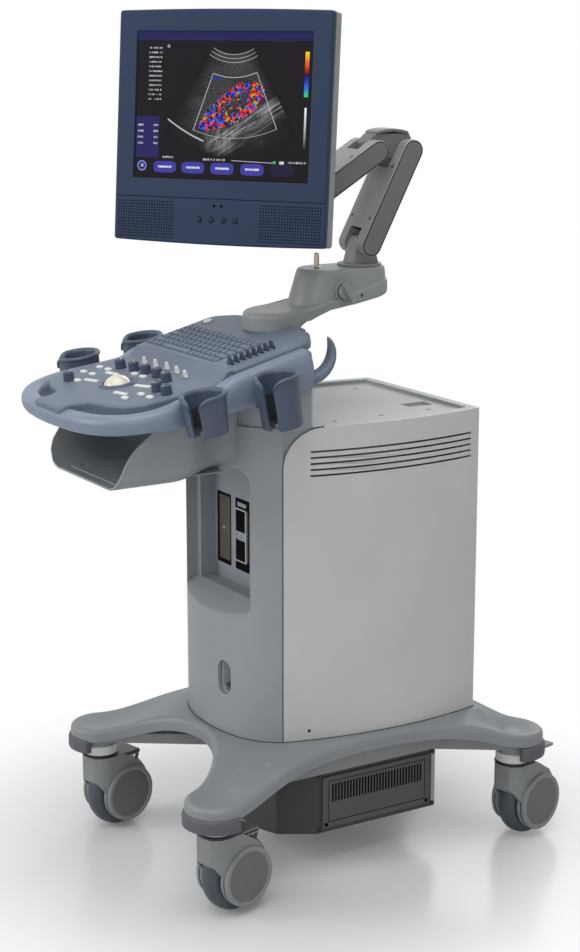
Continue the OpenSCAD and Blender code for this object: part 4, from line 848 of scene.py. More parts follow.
heads = [lathe(grille["screw"], shifted(boxFace, y, grille["screwZ"]), 20) for y in grille["screwY"]]
addPiece("boxScrews", heads, "cart", "hole_black")
strip = roundCorners(box2(*grille["strip"]), 1.5, 4)
addPiece("boxStrip", plate([strip], edgeRound(*grille["stripX"], 0.8, 3), boxFace), "cart", "neck_light")
print("stage: base and casters")

# monitor: sizes across and up from the screen's middle, depth towards the rear
monitorFace = across(onMonitor, frontView)
bezel = {"half": 184, "up": 146, "down": 212, "archUp": 2.5, "archDown": 3.0, "corner": 4.8, "depth": 11,
         "screen": (-152, 152, -114, 114), "screenEdge": [(0, 11), (0, 1.8), (0.5, 0.5), (1.8, 0)],
         "seam": (-182.5, 182.5, -143.6, -142.6), "seamZ": (0.6, -0.12),
         "lampX": (-6, 7), "lampV": -154, "lamp": [(2.4, 0.8), (2.4, -0.3), (1.6, -0.7)],
         "buttons": 4, "pitch": 21, "buttonV": -176, "buttonR": 4.5,
         "cap": [(4, 16), (4, 0.2), (3.7, -0.9), (2.6, -1.4), (1, -1.2)]}


def monitorLoop(inset=0.0, corner=bezel["corner"]):
    # rounded rectangle whose top and bottom edges bow outwards
    b = bezel
    box = box2(-b["half"] + inset, b["half"] - inset, -b["down"] + inset, b["up"] - inset)
    loop = dense(roundCorners(box, corner, 8), 12)
    bow = 1 - (loop[:, 0] / b["half"]) ** 2
    loop[:, 1] += np.where(loop[:, 1] > 0, b["archUp"], -b["archDown"]) * bow
    return loop


buttonX = (np.arange(bezel["buttons"]) - (bezel["buttons"] - 1) / 2) * bezel["pitch"]
holes = [roundCorners(box2(*bezel["screen"]), 1.5, 4)]
holes += [disc2(x, bezel["buttonV"], bezel["buttonR"]) for x in buttonX]
bezelLayers = [edgeRound(bezel["depth"], 0, 3.5), bezel["screenEdge"]]
bezelLayers += [edgeRound(bezel["depth"], 0, 0.8, 3)] * bezel["buttons"]
bezelPlate = plate([monitorLoop()] + holes, bezelLayers, monitorFace)
addPiece("screenBezel", bezelPlate, "monitor", "bezel_blue", ["monitor_bezel"], angle=30)
seamLine = plate([dense(box2(*bezel["seam"]), 10)], straight(*bezel["seamZ"]), monitorFace)
addPiece("bezelSeam", seamLine, "monitor", "hole_black")
speaker = {"u": ((-176, -76), (75, 177)), "v": (-206, -149), "pitch": 4.6, "r": 1.3, "z": (0.5, -0.1)}
dots = [plate([disc2(u, v, speaker["r"], 8)], straight(*speaker["z"]), monitorFace)
        for ends in speaker["u"] for u in np.arange(*ends, speaker["pitch"])
        for v in np.arange(*speaker["v"], speaker["pitch"])]
addPiece("speakerHoles", dots, "monitor", "hole_black")
leds = [lathe(bezel["lamp"], shifted(monitorFace, u, bezel["lampV"]), 20) for u in bezel["lampX"]]
addPiece("statusLamps", leds, "monitor", "hole_black")
caps = [lathe(bezel["cap"], shifted(monitorFace, u, bezel["buttonV"]), 28) for u in buttonX]
addPiece("monitorKnobs", caps, "monitor_keys", "key_navy", ["monitor_buttons"])

# rear shell: a rim with a rounded edge, a crowned back with vent ribs, and the tilt hinge's lugs
rearShell = {"rim": [(1.6, 10.4), (1.2, 11.2), (0.4, 12.4), (0.4, 31), (1.0, 33.4), (2.6, 35), (4.6, 35.6)],
             "crown": [(0, 34), (0, 36.4), (1.2, 38), (3, 44), (4.4, 49), (7, 52), (11, 53.6), (16, 54)],
             "crownInset": 15, "crownCorner": 22, "ribHalf": 95, "ribV": (62, 104, 7), "ribR": 1.6,
             "ribZ": (53.5, 55), "hubX": 15.6, "tilt": (69, -112), "lugFrom": 50, "lugR": 9,
             "lugX": ((26.4, 36.4), (-36.4, -26.4))}
crownLoop = monitorLoop(rearShell["crownInset"], rearShell["crownCorner"])
shell = [plate([monitorLoop()], rearShell["rim"], monitorFace),
         plate([crownLoop], rearShell["crown"], monitorFace)]
addPiece("monitorShell", shell, "monitor", "case_grey", ["monitor_case"], angle=40)
ribLoops = [pill2((-rearShell["ribHalf"], v), (rearShell["ribHalf"], v), rearShell["ribR"], 6)
            for v in np.arange(*rearShell["ribV"])]
ribs = [plate([loop], edgeRound(*rearShell["ribZ"], 0.6, 2), monitorFace) for loop in ribLoops]
addPiece("shellVents", ribs, "monitor", "inner_dark")
lugLoop = pill2((rearShell["lugFrom"], rearShell["tilt"][1]), rearShell["tilt"], rearShell["lugR"])
lugLayers = [bothRound(rearShell["hubX"] + a, rearShell["hubX"] + b, 1.5, 3) for a, b in rearShell["lugX"]]
lugs = [plate([lugLoop], layers, across(onMonitor, sideView)) for layers in lugLayers]
addPiece("tiltLugs", lugs, "monitor", "case_grey")

# screen picture: everything is drawn on the piece's own UV map, in mm from the upper left corner
screen = {"size": (304, 228), "z": (2.4, 3.2), "glow": 0.9, "black": (9, 6, 10), "gloss": 0.06,
          "glass": (0.012, 0.011, 0.013, 1), "grain": 900, "rough": 0.4, "roughDrift": 0.2}
sockets, uvs = newFinish("screen_image", "UV")
axes = uvs.tree.nodes.new("ShaderNodeSeparateXYZ")
feed(axes.inputs[0], uvs)
px = Wire(uvs.tree, axes.outputs["X"]) * screen["size"][0]
py = (1 - Wire(uvs.tree, axes.outputs["Y"])) * screen["size"][1]


def boxMask(x0, x1, y0, y1):
    # 1 inside a rectangle
    return (px > x0) * (px < x1) * (py > y0) * (py < y1)


def lineMask(a, b, half):
    # points nearer than half to the run from a to b
    dx, dy = b[0] - a[0], b[1] - a[1]
    ox, oy = px - a[0], py - a[1]
    t = ((ox * dx + oy * dy) / (dx * dx + dy * dy)).clip()
    return ((ox - t * dx) ** 2 + (oy - t * dy) ** 2) < half * half


def pillMask(x, y, w, h):
    # rounded key: a superellipse of power 4
    return (((px - x) / (w / 2)) ** 4 + ((py - y) / (h / 2)) ** 4) < 1.0


def vector(x, y, z=0.0):
    # three values as one vector
    return px.make("ShaderNodeCombineXYZ", {}, {0: x, 1: y, 2: z})


def cloud(x, y, scaleX, scaleY, seed, detail):
    # noise over two stretched coordinates, with a place of its own in depth
    return noise(vector(x * scaleX, y * scaleY, seed), 1.0, detail)


def layer(under, mask, colour):
    # colour laid over the picture where the mask is 1
    return mask.mix(under, paint(*colour) if isinstance(colour, tuple) else colour)


def rising(value, start, width):
    # 0 before start, 1 after start + width
    return ((value - start) / width).clip()


def falling(value, end, width):
    # 1 before end - width, 0 after end
    return ((end - value) / width).clip()


def ramp(value, stops, held=()):
    # colours along a value, in steps where it is held
    settings = {"stops": [(place, paint(*colour)) for place, colour in stops]}
    return value.make("ShaderNodeValToRGB", {**dict.fromkeys(held, True), **settings}, {0: value})


# echo fan: polar speckle that fades to its edges, near lines, a leaning fibrous band, shafts below it and
# one bright arc; a cloud is (scale, scale, seed, detail), an edge (place, width)
fan = {"apex": (170, -32), "inner": 66, "outer": 224, "left": -0.56, "right": 0.53, "fade": 60,
       "sideFade": 0.2, "most": 0.6, "tint": (0.86, 0.88, 0.92)}
echoes = {"speckle": (64, 0.62, 3.0, 4.0), "speckleFrom": 0.40, "speckleGain": 0.75,
          "patches": (0.022, 0.03, 7.0, 3.0), "patchGain": 1.6, "patchFrom": 0.2,
          "linePitch": 1.05, "lineFrom": 0.82, "lineReach": 84, "lineGain": 0.35,
          "fibres": (0.028, 0.30, 1.0, 4.0), "fibreFrom": 0.44, "fibreGain": 1.5,
          "bandIn": (22, 6), "bandOut": (62, 26), "bandLeft": (-70, 30),
          "shafts": (30, 0.05, 5.0, 3.0), "shaftFrom": 0.36, "shaftGain": 1.6, "shaftReach": (178, 14),
          "shaftMid": -0.1, "shaftHalf": 0.16, "shaftEdge": 12,
          "arcAt": (62, 138), "arcSlope": 0.66, "arcCurl": 0.0026, "arcHalf": 1.3, "arcX": (58, 122),
          "arcGain": 0.6}
flow = {"mid": (168, 116), "tilt": 31, "half": (62, 24), "swell": 0.11, "wobble": (0.06, 0.06, 2.0, 2.0),
        "wobbleGain": 0.5, "heartAt": 14, "heart": (30, 12), "ragged": (0.16, 0.16, 6.0, 2.0),
        "raggedGain": 7, "heartEdge": 0.8, "cell": 0.26, "cellGain": 0.75,
        "swing": (0.07, 0.07, 9.0, 2.0), "swingGain": 1.4, "lift": 0.14, "stops": [
            (0.0, (16, 24, 150)), (0.96, (60, 215, 60)), (0.16, (30, 80, 240)), (0.30, (40, 165, 240)),
            (0.34, (14, 10, 14)), (0.58, (170, 12, 14)), (0.66, (240, 36, 20)), (0.88, (248, 150, 24))]}
ox, oy = px - fan["apex"][0], py - fan["apex"][1]
reach = (ox * ox + oy * oy) ** 0.5
bend = ox.calc("ARCTAN2", ox, oy)
fanMask = (bend > fan["left"]) * (bend < fan["right"]) * (reach > fan["inner"]) * (reach < fan["outer"])
fade = falling(reach, fan["outer"], fan["fade"]) * rising(bend, fan["left"], fan["sideFade"])
fade = fade * falling(bend, fan["right"], fan["sideFade"])
tilt = math.radians(flow["tilt"])
gx, gy = px - flow["mid"][0], py - flow["mid"][1]
along = gx * math.cos(tilt) - gy * math.sin(tilt)
over = gx * math.sin(tilt) + gy * math.cos(tilt)
e = echoes
patches = cloud(px, py, *e["patches"]) * e["patchGain"] - e["patchFrom"]
echo = (cloud(bend, reach, *e["speckle"]) - e["speckleFrom"]).clip() * patches * fade * e["speckleGain"]
nearLines = (reach.calc("SINE", reach * e["linePitch"]) > e["lineFrom"]) * (reach < e["lineReach"])
band = rising(over, *e["bandIn"]) * falling(over, *e["bandOut"]) * rising(along, *e["bandLeft"])
fibres = (cloud(along, over, *e["fibres"]) - e["fibreFrom"]).clip() * band
shaftZone = ((e["shaftHalf"] - abs(bend - e["shaftMid"])) * e["shaftEdge"]).clip()
below = rising(reach, *e["shaftReach"]) * shaftZone * fade
shafts = (cloud(bend, reach, *e["shafts"]) - e["shaftFrom"]).clip() * below
echo = echo + nearLines * e["lineGain"] + fibres * e["fibreGain"] + shafts * e["shaftGain"]
arcX = px - e["arcAt"][0]
arcLine = abs(py - e["arcAt"][1] - arcX * e["arcSlope"] + arcX ** 2 * e["arcCurl"])
arcZone = (arcLine < e["arcHalf"]) * (px > e["arcX"][0]) * (px < e["arcX"][1])
echo = (echo + arcZone * e["arcGain"]).clip(0.0, fan["most"])
greyEcho = px.make("ShaderNodeCombineColor", {}, {k: echo * share for k, share in enumerate(fan["tint"])})
picture = layer(paint(*screen["black"]), fanMask.either(arcZone), greyEcho)

# blood flow: coloured cells in a bean, with dark ones among them and a grey middle
wobble = (cloud(px, py, *flow["wobble"]) - 0.5) * flow["wobbleGain"]
bean = (along / flow["half"][0]) ** 2 + (over / (along * flow["swell"] + flow["half"][1])) ** 2 + wobble
ragged = (cloud(px, py, *flow["ragged"]) - 0.5) * flow["raggedGain"]
heart = ((along - flow["heartAt"]) / flow["heart"][0]) ** 2 + (over / flow["heart"][1]) ** 2 + ragged
cellPlace = vector(px * flow["cell"], py * flow["cell"])
cells = px.make("ShaderNodeTexVoronoi", {}, {"Vector": cellPlace, "Scale": 1.0}, 1)
spots = px.make("ShaderNodeTexWhiteNoise", {}, {"Vector": cells})
swing = (cloud(px, py, *flow["swing"]) - 0.5) * flow["swingGain"]
flowColour = ramp(spots * flow["cellGain"] + swing + flow["lift"], flow["stops"], ["held"])
picture = layer(picture, (bean < 1.0) * (heart > flow["heartEdge"]), flowColour)
gate = {"left": -0.348, "right": 0.407, "near": 102, "far": 195, "half": 0.55, "farShare": 0.6,
        "lapTurn": 0.004, "lap": 0.5, "colour": (196, 192, 196)}
inGate = (bend > gate["left"] - gate["lapTurn"]) * (bend < gate["right"] + gate["lapTurn"])
inGate = inGate * (reach > gate["near"] - gate["lap"]) * (reach < gate["far"] + gate["lap"])
edges = abs(bend - gate["left"]) * reach < gate["half"]
edges = edges.either(abs(bend - gate["right"]) * reach < gate["half"])
edges = edges.either(abs(reach - gate["near"]) < gate["half"])
edges = edges.either((abs(reach - gate["far"]) < gate["half"]) * gate["farShare"])
picture = layer(picture, edges * inGate, gate["colour"])

# panels, rows of short unreadable strokes, keys, dial and scales; boxes are (left, right, top, bottom)
marks = {
    "dash": {"from": (134, 74), "to": (151, 71), "half": 1.1, "colour": (36, 40, 170)},
    "track": {"from": (172, 197), "to": (246, 199), "half": 0.5, "colour": (190, 190, 190)},
    "panels": [((0, 304, 0, 14), (26, 27, 86)), ((2, 43, 132, 196), (30, 30, 92))],
    "stroke": (0.9, 5.1, 4.0, 1.0),
    "list": {"box": (22, 45, 21, 108), "row": 7.2, "from": 0.42, "to": 0.74, "above": 0.5,
             "colour": (206, 206, 212)},
    "table": {"box": (5, 41, 138, 176), "row": 9.4, "from": 0.3, "to": 0.62, "above": 0.44, "mid": 24,
              "gap": 9, "colour": (190, 190, 206)},
    "keys": {"x": (55, 105, 156, 208), "y": 210, "size": (40, 18), "colour": (64, 60, 162), "half": 12,
             "textY": (208.2, 211.4), "above": 0.42, "text": (222, 222, 240), "last": 259,
             "dark": (24, 22, 54)},
    "dial": {"at": (14, 209), "r": 7, "half": 1.2, "colour": (132, 130, 226)},
    "foot": {"boxes": [(268, 299, 196, 199), (50, 70, 193, 196), (122, 163, 195, 198)], "above": 0.48,
             "colour": (186, 186, 196)},
    "small": [((12, 17, 206, 211), (170, 170, 200)), ((243, 248, 196, 200), (40, 190, 120)),
              ((254, 262, 196, 200.5), (214, 214, 220)), ((54, 58, 21, 25), (200, 200, 206)),
              ((55, 57, 22, 24), (9, 6, 9))],
    "hues": {"box": (291, 298, 30, 98), "stops": [
        (0.0, (250, 220, 40)), (1.0, (40, 220, 80)), (0.22, (240, 110, 20)), (0.42, (180, 10, 10)),
        (0.5, (6, 4, 6)), (0.6, (20, 20, 160)), (0.8, (30, 110, 240))]},
    "greys": {"box": (293, 296.5, 114, 176), "stops": [(0.0, (250, 250, 250)), (1.0, (10, 10, 12))]},
}


def textRows(m):
    # the part of each row of a box that holds strokes
    row = py / m["row"]
    phase = row.calc("FRACT", row)
    return boxMask(*m["box"]) * (phase > m["from"]) * (phase < m["to"])


listRow = py / marks["list"]["row"]
words = cloud(px, listRow.calc("FLOOR", listRow), *marks["stroke"])
for m in (marks["dash"], marks["track"]):
    picture = layer(picture, lineMask(m["from"], m["to"], m["half"]), m["colour"])
for box, colour in marks["panels"]:
    picture = layer(picture, boxMask(*box), colour)
m = marks["list"]
picture = layer(picture, textRows(m) * (words > m["above"]), m["colour"])
m = marks["table"]
picture = layer(picture, textRows(m) * (abs(px - m["mid"]) > m["gap"]) * (words > m["above"]), m["colour"])
m = marks["keys"]
for x in m["x"]:
    picture = layer(picture, pillMask(x, m["y"], *m["size"]), m["colour"])
    keyText = boxMask(x - m["half"], x + m["half"], *m["textY"]) * (words > m["above"])
    picture = layer(picture, keyText, m["text"])
picture = layer(picture, pillMask(m["last"], m["y"], *m["size"]), m["dark"])
m = marks["dial"]
dial = abs(((px - m["at"][0]) ** 2 + (py - m["at"][1]) ** 2) ** 0.5 - m["r"])
picture = layer(picture, dial < m["half"], m["colour"])
for m in (marks["hues"], marks["greys"]):
    top, bottom = m["box"][2:]
    picture = layer(picture, boxMask(*m["box"]), ramp((py - top) / (bottom - top), m["stops"]))
m = marks["foot"]
footText = sum([boxMask(*box) for box in m["boxes"][1:]], boxMask(*m["boxes"][0]))
picture = layer(picture, footText * (words > m["above"]), m["colour"])
for box, colour in marks["small"]:
    picture = layer(picture, boxMask(*box), colour)
feed(sockets["Emission Color"], picture)
sockets["Emission Strength"].default_value = screen["glow"]
sockets["Base Color"].default_value = screen["glass"]
feed(sockets["Roughness"], noise(uvs, screen["grain"]) * screen["roughDrift"] + screen["rough"])
sockets["Specular IOR Level"].default_value = screen["gloss"]
corners = np.array([(u, d, v) for d in screen["z"] for u, v in box2(*bezel["screen"])])
glassFaces = [[0, 1, 2, 3], [7, 6, 5, 4], [0, 4, 5, 1], [1, 5, 6, 2], [2, 6, 7, 3], [3, 7, 4, 0]]
glass = addPiece("screenFace", (onMonitor(corners), glassFaces), "monitor", "screen_image")
loopCorner = np.zeros(len(glass.data.loops), int)
glass.data.loops.foreach_get("vertex_index", loopCorner)
share = (corners[loopCorner][:, [0, 2]] - corners[0, [0, 2]]) / screen["size"]
glass.data.uv_layers.new(name="screenMap").data.foreach_set("uv", share.ravel())
print("stage: monitor and screen")

# console: handle, pan and decks, with outlines across and along the deck
handle = {"path": [(0, -114), (60, -111), (104, -104), (142, -88), (168, -62), (180, -28), (174, 8),
                   (161, 44), (160, 90), (158, 180), (156, 262)], "points": 150, "bar": 15.5, "mid": -21.0,
          "rail": 18.5, "under": -48.0, "railFrom": -60, "railOver": 110, "liftFrom": 84, "liftOver": 36,
          "lift": 10, "slopeFrom": 116, "slope": 0.0963, "sink": 2, "endShare": 0.012, "power": 2.35}


def handleTube():
    # superellipse carried round the deck: a round bar in front that grows into a tall rail on each side
    h = handle
    right = np.array(h["path"], float)
    line = smoothPath(np.concatenate([(right * (-1, 1))[:0:-1], right]), h["points"])
    ahead = np.gradient(line, axis=0)
    ahead /= np.linalg.norm(ahead, axis=1)[:, None]
    toRail = smoothStep(np.clip((line[:, 1] - h["railFrom"]) / h["railOver"], 0, 1))
    rise = smoothStep(np.clip((line[:, 1] - h["liftFrom"]) / h["liftOver"], 0, 1))
    lift = h["lift"] * rise + np.clip(line[:, 1] - h["slopeFrom"], 0, None) * h["slope"]
    topW = (h["mid"] + h["bar"]) * (1 - toRail) + (lift - h["sink"]) * toRail
    lowW = (h["mid"] - h["bar"]) * (1 - toRail) + h["under"] * toRail
    gone = np.linspace(0, 1, len(line))
    fromEnd = np.clip(np.minimum(gone, 1 - gone) / h["endShare"], 0, 1)
    endRound = np.sqrt(np.clip(1 - (1 - fromEnd) ** 2, 0.05, 1))
    centre = np.column_stack([line, (topW + lowW) / 2])
    sideways = np.column_stack([-ahead[:, 1], ahead[:, 0], np.zeros(len(line))])
    upward = np.broadcast_to([0.0, 0, 1], centre.shape)
    halfW = (h["bar"] * (1 - toRail) + h["rail"] * toRail) * endRound
    halfH = (topW - lowW) / 2 * endRound
    return tube(centre, sideways, upward, halfW, halfH, h["power"], 36)


addPiece("handleRail", placed(handleTube(), onDeck), "cart", "handle_blue", ["handle_frame"], angle=60)
pan = {"plan": [(-56, -68), (56, -68), (128, -50), (146, -26), (150, 118), (-150, 118), (-146, -26),
                (-128, -50)],
       "corner": 14, "z": (-48, -11.5), "edge": 3, "rearX": (-152, 152), "rearR": [5, 9, 6, 20, 5],
       "rear": [(100, -48), (268, -48), (268, 13), (116, -1), (100, -7)]}
panLoop = roundCorners(pan["plan"], pan["corner"])
addPiece("consolePan", plate([panLoop], bothRound(*pan["z"], pan["edge"]), onDeck), "cart", "handle_blue")
wedge = roundCorners(pan["rear"], pan["rearR"], 6)
rearPan = plate([wedge], bothRound(*pan["rearX"], pan["edge"]), across(onDeck, sideView))
addPiece("panRear", rearPan, "cart", "handle_blue")

deck = {"plan": [(-46, -125), (50, -125), (42, -97), (60, -77), (104, -69), (138, -54), (152, -28),
                 (152, 116), (-152, 116), (-152, -28), (-138, -54), (-104, -69), (-60, -77), (-42, -97)],
        "corners": [7, 7, 16, 18, 40, 22, 26, 6, 6, 26, 22, 40, 18, 16], "z": (-12.5, 0), "edge": 4.5}
deckLoop = roundCorners(deck["plan"], deck["corners"])
deckPlate = plate([deckLoop], edgeRound(*deck["z"], deck["edge"]), onDeck)
addPiece("controlDeck", deckPlate, "cart", "deck_blue", ["control_deck"], angle=40)
slab = {"plan": [(-156, 2), (152, 2), (154, 146), (112, 174), (0, 190), (-112, 174), (-156, 150)],
        "corners": [10, 14, 34, 40, 60, 40, 26], "z": (-14, 0), "edge": 5,
        "well": (-148.5, 83.5, 13.5, 102.1), "tracks": 8, "trackX": (107, 129), "trackV": 22,
        "trackPitch": 11, "trackR": 1.9, "power": (-132, 126), "powerR": 8.5, "hoopR": (11, 8.6),
        "hoopZ": (-1, 0.7), "floor": (-150, 140, 12, 106), "floorZ": (-13.5, -9.5), "postY": -16,
        "post": [(50, 849), (50, 888.2), (49, 888.6)]}
trackV = slab["trackV"] + slab["trackPitch"] * np.arange(slab["tracks"])
slabLoops = [roundCorners(slab["plan"], slab["corners"]), roundCorners(box2(*slab["well"]), 2, 4)]
slabLoops += [pill2((slab["trackX"][0], v), (slab["trackX"][1], v), slab["trackR"], 6) for v in trackV]
slabLoops.append(disc2(*slab["power"], slab["powerR"], 32))
slabLayers = [edgeRound(*slab["z"], slab["edge"]), edgeRound(*slab["z"], 0.8, 2)]
slabLayers += [edgeRound(*slab["z"], 0.5, 2)] * (slab["tracks"] + 1)
slabPlate = plate(slabLoops, slabLayers, onKeys)
addPiece("keyboardDeck", slabPlate, "cart", "deck_blue", ["keyboard_deck"], angle=40)
wellFloor = plate([box2(*slab["floor"])], straight(*slab["floorZ"]), onKeys)
addPiece("keyWellFloor", wellFloor, "cart", "inner_dark")
hoopLoops = [disc2(*slab["power"], r, 32) for r in slab["hoopR"]]
addPiece("powerHoop", plate(hoopLoops, edgeRound(*slab["hoopZ"], 0.5, 2), onKeys), "cart", "deck_blue")
addPiece("armPost", lathe(slab["post"], shifted(plain, 0, slab["postY"])), "cart", "deck_blue")

stepShape = {"half": 151, "points": 45, "rows": 12, "bow": 9, "from": 98, "run": 20, "tail": 6,
             "rise": 14.4, "sink": 0.3, "foot": -8.0}


def stepLoft():
    # smooth step between the two decks: an S-curve carried along a shallow bow, closed below
    c = stepShape
    x = np.linspace(-c["half"], c["half"], c["points"])[:, None]
    s = np.linspace(0, 1, c["rows"])
    v = c["from"] + c["bow"] * (1 - (x / c["half"]) ** 2) + c["run"] * s + np.where(s > 0.99, c["tail"], 0)
    w = np.broadcast_to(smoothStep(s) * c["rise"] - c["sink"], v.shape)
    v = np.concatenate([v, v[:, [-1, 0]]], 1)
    w = np.concatenate([w, np.full((c["points"], 2), c["foot"])], 1)
    return loft(np.stack([np.broadcast_to(x, v.shape), v, w], -1))


addPiece("deckStep", placed(stepLoft(), onDeck), "cart", "deck_blue", angle=60)
print("stage: console")

# probe holders and cable hook; a cup's spot is (x, along the deck, height)
cupShape = {"turn": -57, "spots": [(212, 36, 62), (220, 160, 82)], "rise": 10, "footR": 31.5, "topR": 34.5,
            "wall": 5.8, "slot": 8.6, "shoulderW": 23, "shoulderH": 16.5, "shadeTop": 0.58, "points": 84,
            "holeR": 15, "fallFrom": 0.3, "bracketHalf": 13,
            "brackets": ((36, -40, -12, 160, 178), (160, -50, -14, 158, 188))}


def carriedRound(spot, sign, profile, slot):
    # profile rows carried round the cup's axis between the slot's edges, where the rim falls off in a
    # quarter ellipse
    c = cupShape
    x, v, h = spot
    way = 0.5 - 0.5 * np.cos(np.linspace(0, math.pi, c["points"]))[:, None]
    gap = slot / np.maximum(profile[:, 0], 20)
    turn = way * (2 * math.pi - 2 * gap)
    near = np.minimum(turn, 2 * math.pi - 2 * gap - turn) * c["topR"] / c["shoulderW"]
    fall = c["shoulderH"] * (1 - np.sqrt(1 - np.clip(1 - near, 0, 1) ** 2))
    z = profile[:, 1] - fall * np.clip((profile[:, 1] / h - c["fallFrom"]) / (1 - c["fallFrom"]), 0, 1)
    turn = turn + gap + math.radians(c["turn"])
    rings = [sign * (x + profile[:, 0] * np.cos(turn)), v + profile[:, 0] * np.sin(turn), z + c["rise"] - h]
    return loft(onDeck(np.stack(rings, -1)))


def wallRadius(z, h):
    # the cup widens evenly from its foot to its top
    return cupShape["footR"] + (cupShape["topR"] - cupShape["footR"]) * z / h


def cup(spot, sign):
    # wall, rolled rim, inside and foot ring in one closed profile
    c = cupShape
    h, r, foot = spot[2], c["topR"], c["footR"]
    z = np.linspace(3, h - 6, 12)
    wall = wallRadius(z, h)
    lip = [(r - 0.8, h - 5.5), (r + 2, h - 5.2), (r + 2.8, h - 3.8), (r + 2.5, h - 1.7), (r + 1.2, h - 0.2),
           (r - 1.2, h + 0.2), (r - 3.6, h - 0.4), (r - c["wall"] - 0.2, h - 2.4)]
    inner = np.stack([wall - c["wall"], z], -1)[::-1]
    ring = [(foot - c["wall"] - 1, 4), (c["holeR"], 3.4), (c["holeR"], 0.6), (foot - 2, 0), (foot - 0.4, 1)]
    return carriedRound(spot, sign, np.concatenate([np.stack([wall, z], -1), lip, inner, ring]), c["slot"])


def cupShade(spot, sign):
    # painted shade inside a cup: a dark sheet over its floor and over the lower part of its wall
    c = cupShape
    z = np.linspace(5, spot[2] * c["shadeTop"], 8)
    shadeRadius = wallRadius(z, spot[2]) - c["wall"]
    floor = [(c["holeR"] - 0.4, 4.8), (c["holeR"] - 0.4, 2.4), (c["footR"] - c["wall"], 2.4)]
    band = np.concatenate([np.stack([shadeRadius + 0.6, z], -1), np.stack([shadeRadius - 0.5, z], -1)[::-1], floor])
    return carriedRound(spot, sign, band, c["slot"] + 0.3)


bothCups = [(spot, sign) for spot in cupShape["spots"] for sign in (1, -1)]
holders = [cup(spot, sign) for spot, sign in bothCups]
# painted shade in the cups' hollows
addPiece("cupShades", [cupShade(spot, sign) for spot, sign in bothCups], "cart", "inner_dark")
for v, low, high, x0, x1 in cupShape["brackets"]:
    bracket = roundCorners(box2(v - cupShape["bracketHalf"], v + cupShape["bracketHalf"], low, high), 5, 5)
    holders += platePair(bracket, bothRound(x0, x1, 2, 3), across(onDeck, sideView))
addPiece("probeHolders", holders, "cart", "cup_blue", ["probe_holders"], angle=60)
hook = {"centre": (261, 10), "r": 40, "x": 157.0, "from": -104, "to": 26, "points": 40, "wide": (15, 5),
        "thick": (10, 6.4), "power": 2.6}


def hookHorn():
    # superellipse that tapers along an arc and closes to a round tip
    n = hook["points"]
    a = np.radians(np.linspace(hook["from"], hook["to"], n))
    way = np.linspace(0, 1, n)
    outward = np.column_stack([np.zeros(n), np.cos(a), np.sin(a)])
    path = hook["r"] * outward + (hook["x"], *hook["centre"])
    taper = np.sqrt(np.clip(1 - way ** 6, 0.02, 1))
    wide, thick = [(size - less * way) * taper for size, less in (hook["wide"], hook["thick"])]
    return tube(path, np.broadcast_to([1.0, 0, 0], (n, 3)), outward, wide, thick, hook["power"], 28)


addPiece("cableHook", placed(hookHorn(), onDeck), "cart", "deck_blue", ["cable_hook"], angle=60)

# controls: knobs with a fluted grip and a white mark
knob = {"spots": [(-95, -38), (-87, 51), (-51, 57), (-16, 60), (22, 60), (61, 55), (100, 18), (130, 18)],
        "profile": [(8.6, 0.4), (9.2, 1.2), (9.0, 2.4), (8.4, 5), (8.2, 12.0), (7.7, 13.8), (6.6, 14.6),
                    (5.2, 14.3), (2, 14)], "points": 72, "flutes": 12, "fluteDepth": 0.035, "fluteFrom": 3,
        "mark": (-0.7, 0.7, 2, 7.2), "markZ": (13.6, 14.75), "markTurn": 25}
knobProfile = np.array(knob["profile"])
fluteTurn = np.arange(knob["points"]) * 2 * math.pi * knob["flutes"] / knob["points"]
flutes = 1 + knob["fluteDepth"] * np.cos(fluteTurn)
fluted = knobProfile[:, :1] * np.where(knobProfile[:, 1:] > knob["fluteFrom"], flutes[None], 1.0)
knobHigh = np.broadcast_to(knobProfile[:, 1:, None], (*fluted.shape, 1))
knobRings = np.concatenate([fluted[..., None] * circle(knob["points"])[None], knobHigh], -1)
for k, (x, v) in enumerate(knob["spots"], 1):
    body = "knob_%d_body" % k
    grip = loft(shifted(onDeck, x, v)(knobRings))
    addPiece("rotaryKnob_%d" % k, grip, body, "knob_dark", ["knob_%d" % k], angle=50)
    markPlace = shifted(onDeck, x, v, 0, knob["markTurn"] * (k - 1))
    mark = plate([box2(*knob["mark"])], straight(*knob["markZ"]), markPlace)
    addPiece("knobMark_%d" % k, mark, body, "key_white")

# buttons: ovals at (x, along), bars at (x, along, turn)
button = {"ovals": [(-123, 31), (-95, 32), (-121, 1), (-92, 2), (-79, -31), (-27, 45), (2, 45), (96, -8),
                    (124, -8), (92, -34)],
          "bars": [(-56, -18, 12), (-63, 23, 8), (56, 16, 18), (62, -26, 10)],
          "oval": 3.5, "ovalR": 4.9, "bar": (-16.8, 16.8, -3.9, 3.9), "barR": 2.6, "edge": (-3, 2.5, 1.2, 4)}
ovalLoop = pill2((-button["oval"], 0), (button["oval"], 0), button["ovalR"], 10)
barLoop = roundCorners(box2(*button["bar"]), button["barR"], 6)
capLayers = edgeRound(*button["edge"])
caps = [plate([ovalLoop], capLayers, shifted(onDeck, x, v)) for x, v in button["ovals"]]
caps += [plate([barLoop], capLayers, shifted(onDeck, x, v, 0, turn)) for x, v, turn in button["bars"]]
addPiece("deckButtons", caps, "buttons", "key_white", ["control_buttons"], angle=50)

